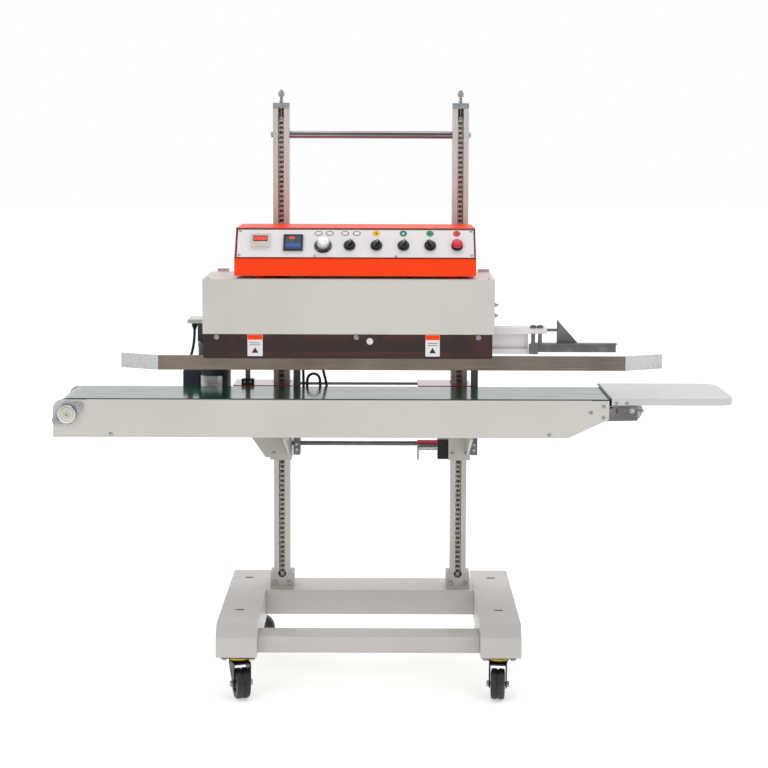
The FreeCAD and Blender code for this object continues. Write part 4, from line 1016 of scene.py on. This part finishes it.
def bearing_caps():
    """Each flange bearing's chromed ring and cream seal, its bolts, and the roller's turned end."""
    for name, y, way in (("front", -218, -1), ("rear", 48, 1)):
        ring = Shape()
        spot = (-799, y, 699)
        ring.lathe("Y", spot, [(22.3, way * -7), (22.6, way * -1), (21.4, way * 1.2), (18.4, way * 1.4),
                               (17.6, way * 0.2), (17.6, way * -7)], 48, closed=True)
        ring.paint = 1
        ring.lathe("Y", spot, [(17.6, way * -3), (17.6, way * 0.6), (15.5, way * 1.4), (9.4, way * 1.4),
                               (8.3, way * 0.8), (8.3, way * -3)], 48, closed=True)
        ring.paint = 2
        for i in (-1, 1):
            hex_head(ring, "Y", (-799 + i * 27, y - way * 10, 699 + i * 17), way, 5.6, 5, 7.5)
        ring.done(f"bearing_ring_{name}", "conveyor", "chrome", "panel_plastic", "zinc")
        end = Shape()
        end.lathe("Y", (-799, y, 699), [(7.6, way * -4), (7.9, way * 1.2), (7.2, way * 1.9),
                                        (4.6, way * 1.9, "hex"), (4.4, way * -2.4, "hex")], 36)
        end.done(f"roller_end_{name}", "drive_roller_body", "panel_plastic")


def tension_bolts():
    """A dark block in each tension bracket's slot, painted shade that makes the slot read dark, and the axle
    bolt and adjusting nut.
    """
    for name, y, way in (("front", -197, -1), ("rear", 27, 1)):
        # a dark block just inside the slot: painted shade
        slot_shade = Shape()
        slot_shade.box((548, min(y, y + way * 2.4), 702), (573, max(y, y + way * 2.4), 716))
        slot_shade.done(f"tension_slot_shade_{name}", "conveyor", "dark_steel", bevel=0.4)
        bolts = Shape()
        hex_head(bolts, "Y", (584, y + way * 3, 709), way, 7, 5)
        hex_head(bolts, "X", (604, y + way * 7, 709), 1, 5.6, 7)
        bolts.done(f"tension_bolt_{name}", "conveyor", "zinc", bevel=0.3)


def belt_seam():
    """The spliced joint across the belt, and its two welded edges."""
    shape = Shape()
    for i in range(2):
        shape.box((-240 + i * 5, -189.5, 735.0), (-238.6 + i * 5, 19.5, 735.2))
    shape.done("belt_seam", "conveyor", "green_belt")


def carriage_bolts():
    """Clamp screws on the carriages and posts."""
    shape = Shape()
    for column in COLUMN_X:
        for z in (560, 700):
            for offset in (-20, 20):
                hex_head(shape, "Y", (column + offset, 138, z), 1, 5.2, 4.6, 7)
        for offset in (-18, 18):
            pan_head(shape, "Y", (column + offset, 46, 556), -1, 4.2, 3)
    for x in (MID - 190, MID + 270):
        for z in (566, 580):
            hex_head(shape, "Y", (x, 41, z), -1, 4.4, 4)
    for x in (MID - 326, MID - 310):
        hex_head(shape, "Y", (x, 48, 742), -1, 3.6, 3.4)
    shape.done("carriage_fasteners", "conveyor", "zinc")


def crank_plate():
    """The red plate that carries the lift crank's socket."""
    shape = Shape()
    shape.box((62.8, 59.3, 561.6), (115.8, 64.4, 588.4))
    shape.done("crank_plate", "conveyor", "red_plastic", bevel=0.6)


def table_gap_shade():
    """A black strip where the belt dives under the extension table: painted shade for the dark gap at the
    table's edge.
    """
    shape = Shape()
    shape.box((530, -198, 735.4), (533.9, 58, 739.6))
    shape.done("table_gap_shade", "conveyor", "black_plastic", bevel=0.4)


def tie_rod_nuts():
    shape = Shape()
    for x in COLUMN_X:
        way = 1 if x > MID else -1
        hex_head(shape, "X", (x + way * 21, 107.5, 1381), way, 8, 6, 11)
    shape.done("tie_rod_nuts", "base", "zinc")


# ---------------------------------------------------------------- leads

SLACK_ROUTE = [
    (-233, 46, 876), (-231.5, 45.5, 826), (-234, 43.5, 777), (-232, 42, 729), (-233, 42, 692),
    (-220.5, 42, 679.5), (-202.5, 42, 679.5), (-190, 42.5, 692), (-189.5, 44.5, 721), (-190, 47, 754),
    (-199.8, 47.5, 763.8), (-213.6, 48, 763.8), (-223.4, 48.5, 754), (-223.8, 51, 726), (-223.4, 52.5, 699),
    (-208.3, 53, 684), (-187, 53, 684), (-172, 52.5, 699), (-172.5, 51, 735), (-182, 49, 772),
    (-191, 47.5, 812), (-193.5, 46.5, 845), (-194, 46, 876),
]
MOTOR_ROUTE = [(-532, 88, 776), (-531, 88, 798), (-524, 88, 822), (-519.5, 88, 850), (-519, 88, 880)]
LEAD_RADIUS = 3.5


def lead(name, route, with_pieces):
    """A flexible lead on one smooth spline through the CAD route's control points."""
    curve = bpy.data.curves.new(name, "CURVE")
    curve.dimensions = "3D"
    curve.bevel_depth = LEAD_RADIUS * MM
    curve.bevel_resolution = 4
    curve.resolution_u = 12
    spline = curve.splines.new("NURBS")
    spline.points.add(len(route) - 1)
    for point, (x, y, z) in zip(spline.points, route):
        point.co = (x * MM, y * MM, z * MM, 1)
    spline.order_u = 3
    spline.use_endpoint_u = True
    curve.materials.append(MATERIALS["cable_rubber"])
    obj = bpy.data.objects.new(name + "_looks", curve)
    bpy.context.scene.collection.objects.link(obj)
    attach(obj, "head")
    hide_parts(name)


def gland(name, spot, way, reach):
    """A cable gland: hexagon body, clamping dome and a tapered boot over the lead."""
    x, y, z = spot
    shape = Shape()
    rings = [(8, 0, "hex"), (8, 5.5, "hex"), (7.4, 6), (7.6, 6.5), (7.6, 10), (6.4, 13), (5.4, 14.5),
             (4.6, reach - 1), (3.7, reach)]
    shape.lathe("Z", (x, y, z), [(r, way * level, *kind) for r, level, *kind in rings], 36)
    return shape.done(name, "head", "black_plastic")


def cable_tie():
    """The tie that holds the lead's small arch to its first run."""
    shape = Shape()
    x, y, z = -228.3, 46.6, 727
    low, high = z - 1.6, z + 1.6
    outer, inner = (10.2, 8.6), (9.2, 7.6)
    rings = []
    for (wide, deep), level in ((outer, low), (outer, high), (inner, high), (inner, low)):
        ring = [shape.vertex((x + wide * math.cos(a), y + deep * math.sin(a), level))
                for a in [2 * math.pi * i / 28 for i in range(28)]]
        rings.append(ring)
    shape.bridge(rings, True)
    shape.box((x - 2.4, y - 12.4, z - 2.4), (x + 2.4, y - 7.6, z + 2.4))
    return shape.done("cable_tie", "head", "panel_white", bevel=0.3)


def mains_gland():
    shape = Shape()
    rings = [(10, 0, "hex"), (10, 7, "hex"), (9, 7.6), (9.2, 8.2), (9.2, 13), (7.4, 16), (6, 17.4), (5, 17.6),
             (4.2, 16), (4.2, 8)]
    shape.lathe("Y", (MID + 200, 65, 1061), rings, 36)
    return shape.done("mains_gland", "head", "black_plastic")


def leads():
    glands = [gland(f"gland_{i}", (x, y, z), way, 20) for i, (x, y, z, way) in enumerate((
        (-233, 46, 894, -1), (-194, 46, 894, -1), (-532, 88, 770, 1), (-519, 88, 894, -1)), start=1)]
    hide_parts("lead_glands")
    mains_gland()
    lead("slack_lead", SLACK_ROUTE, [glands[0], glands[1], cable_tie()])
    lead("motor_lead", MOTOR_ROUTE, [glands[2], glands[3]])


# ---------------------------------------------------------------- floor, lights and camera

def floor_paint():
    s = Shader("looks_floor", "F4F4F2", 0.7, Emission_Strength=0.42)
    s.bsdf.inputs["Emission Color"].default_value = (1.0, 1.0, 1.0, 1.0)
    s.tint(s.noise(0.8, 3.0), "F0F0EE", 0.3, 0.8)
    s.bump(s.noise(40.0, 2.0), 0.05)
    return s.material


def floor():
    mesh = bpy.data.meshes.new("floor")
    half = 30.0
    corners = [(-half, -half, 0), (half, -half, 0), (half, half, 0), (-half, half, 0)]
    mesh.from_pydata(corners, [], [(0, 1, 2, 3)])
    mesh.materials.append(floor_paint())
    obj = bpy.data.objects.new("floor", mesh)
    bpy.context.scene.collection.objects.link(obj)


def sky(front, back):
    """A white room, dimmer on the viewer's side so that bright metal has something dark to mirror."""
    world = bpy.data.worlds.new("studio")
    world.use_nodes = True
    tree = world.node_tree
    lit = tree.nodes["Background"]
    seen = tree.nodes.new("ShaderNodeBackground")
    seen.inputs["Color"].default_value = (1.0, 1.0, 1.0, 1.0)
    way = tree.nodes.new("ShaderNodeTexCoord")
    split = tree.nodes.new("ShaderNodeSeparateXYZ")
    level = tree.nodes.new("ShaderNodeMapRange")
    level.inputs["From Min"].default_value, level.inputs["From Max"].default_value = -0.5, 0.4
    level.inputs["To Min"].default_value, level.inputs["To Max"].default_value = front, back
    rays = tree.nodes.new("ShaderNodeLightPath")
    mix = tree.nodes.new("ShaderNodeMixShader")
    tree.links.new(way.outputs["Generated"], split.inputs["Vector"])
    tree.links.new(split.outputs["Y"], level.inputs["Value"])
    tree.links.new(level.outputs["Result"], lit.inputs["Strength"])
    tree.links.new(rays.outputs["Is Camera Ray"], mix.inputs["Fac"])
    tree.links.new(lit.outputs["Background"], mix.inputs[1])
    tree.links.new(seen.outputs["Background"], mix.inputs[2])
    tree.links.new(mix.outputs["Shader"], tree.nodes["World Output"].inputs["Surface"])
    lit.inputs["Color"].default_value = (1.0, 1.0, 1.0, 1.0)
    bpy.context.scene.world = world


def softbox(name, place, target, wide, tall, energy):
    light = bpy.data.lights.new(name, "AREA")
    light.shape = "RECTANGLE"
    light.size, light.size_y = wide, tall
    light.energy = energy
    obj = bpy.data.objects.new(name, light)
    bpy.context.scene.collection.objects.link(obj)
    obj.location = place
    obj.rotation_euler = (Vector(target) - Vector(place)).to_track_quat("-Z", "Y").to_euler()


def lights():
    sky(0.4, 1.0)
    softbox("key", (-2.6, -3.6, 3.4), (0, 0, 0.8), 2.6, 2.2, 40)
    softbox("fill", (3.0, -3.6, 2.4), (0, 0, 0.7), 2.4, 2.4, 26)
    softbox("top", (0.2, 0.2, 4.4), (0, 0, 0.6), 3.6, 3.0, 58)


def camera():
    data = bpy.data.cameras.new("camera")
    data.sensor_width = 36
    data.lens = 79.73
    data.shift_y = -0.12
    obj = bpy.data.objects.new("camera", data)
    bpy.context.scene.collection.objects.link(obj)
    pitch, roll = math.radians(5.21), math.radians(0.17)
    aim = Matrix.Rotation(math.pi / 2 - pitch, 4, "X") @ Matrix.Rotation(roll, 4, "Z")
    obj.matrix_world = Matrix.Translation((-0.025, -4.3245, 1.3762)) @ aim
    bpy.context.scene.camera = obj


# ---------------------------------------------------------------- the whole scene

dress_nodes()
repaint_nodes()
for build in (head_screws, conveyor_screws, column_screws, roller_chains, lift_shafts, caster_wheels,
              caster_forks, counter, temperature_controller, selector_knobs, speed_dial, stop_button,
              panel_labels, panel_trim_and_lid_shade, guard_labels, drive_motor, motor_plate, head_back, bearing_caps,
              tension_bolts, belt_seam, carriage_bolts, crank_plate, table_gap_shade, tie_rod_nuts, leads, floor,
              lights, camera):
    build()
bpy.context.scene.view_settings.view_transform = "Standard"
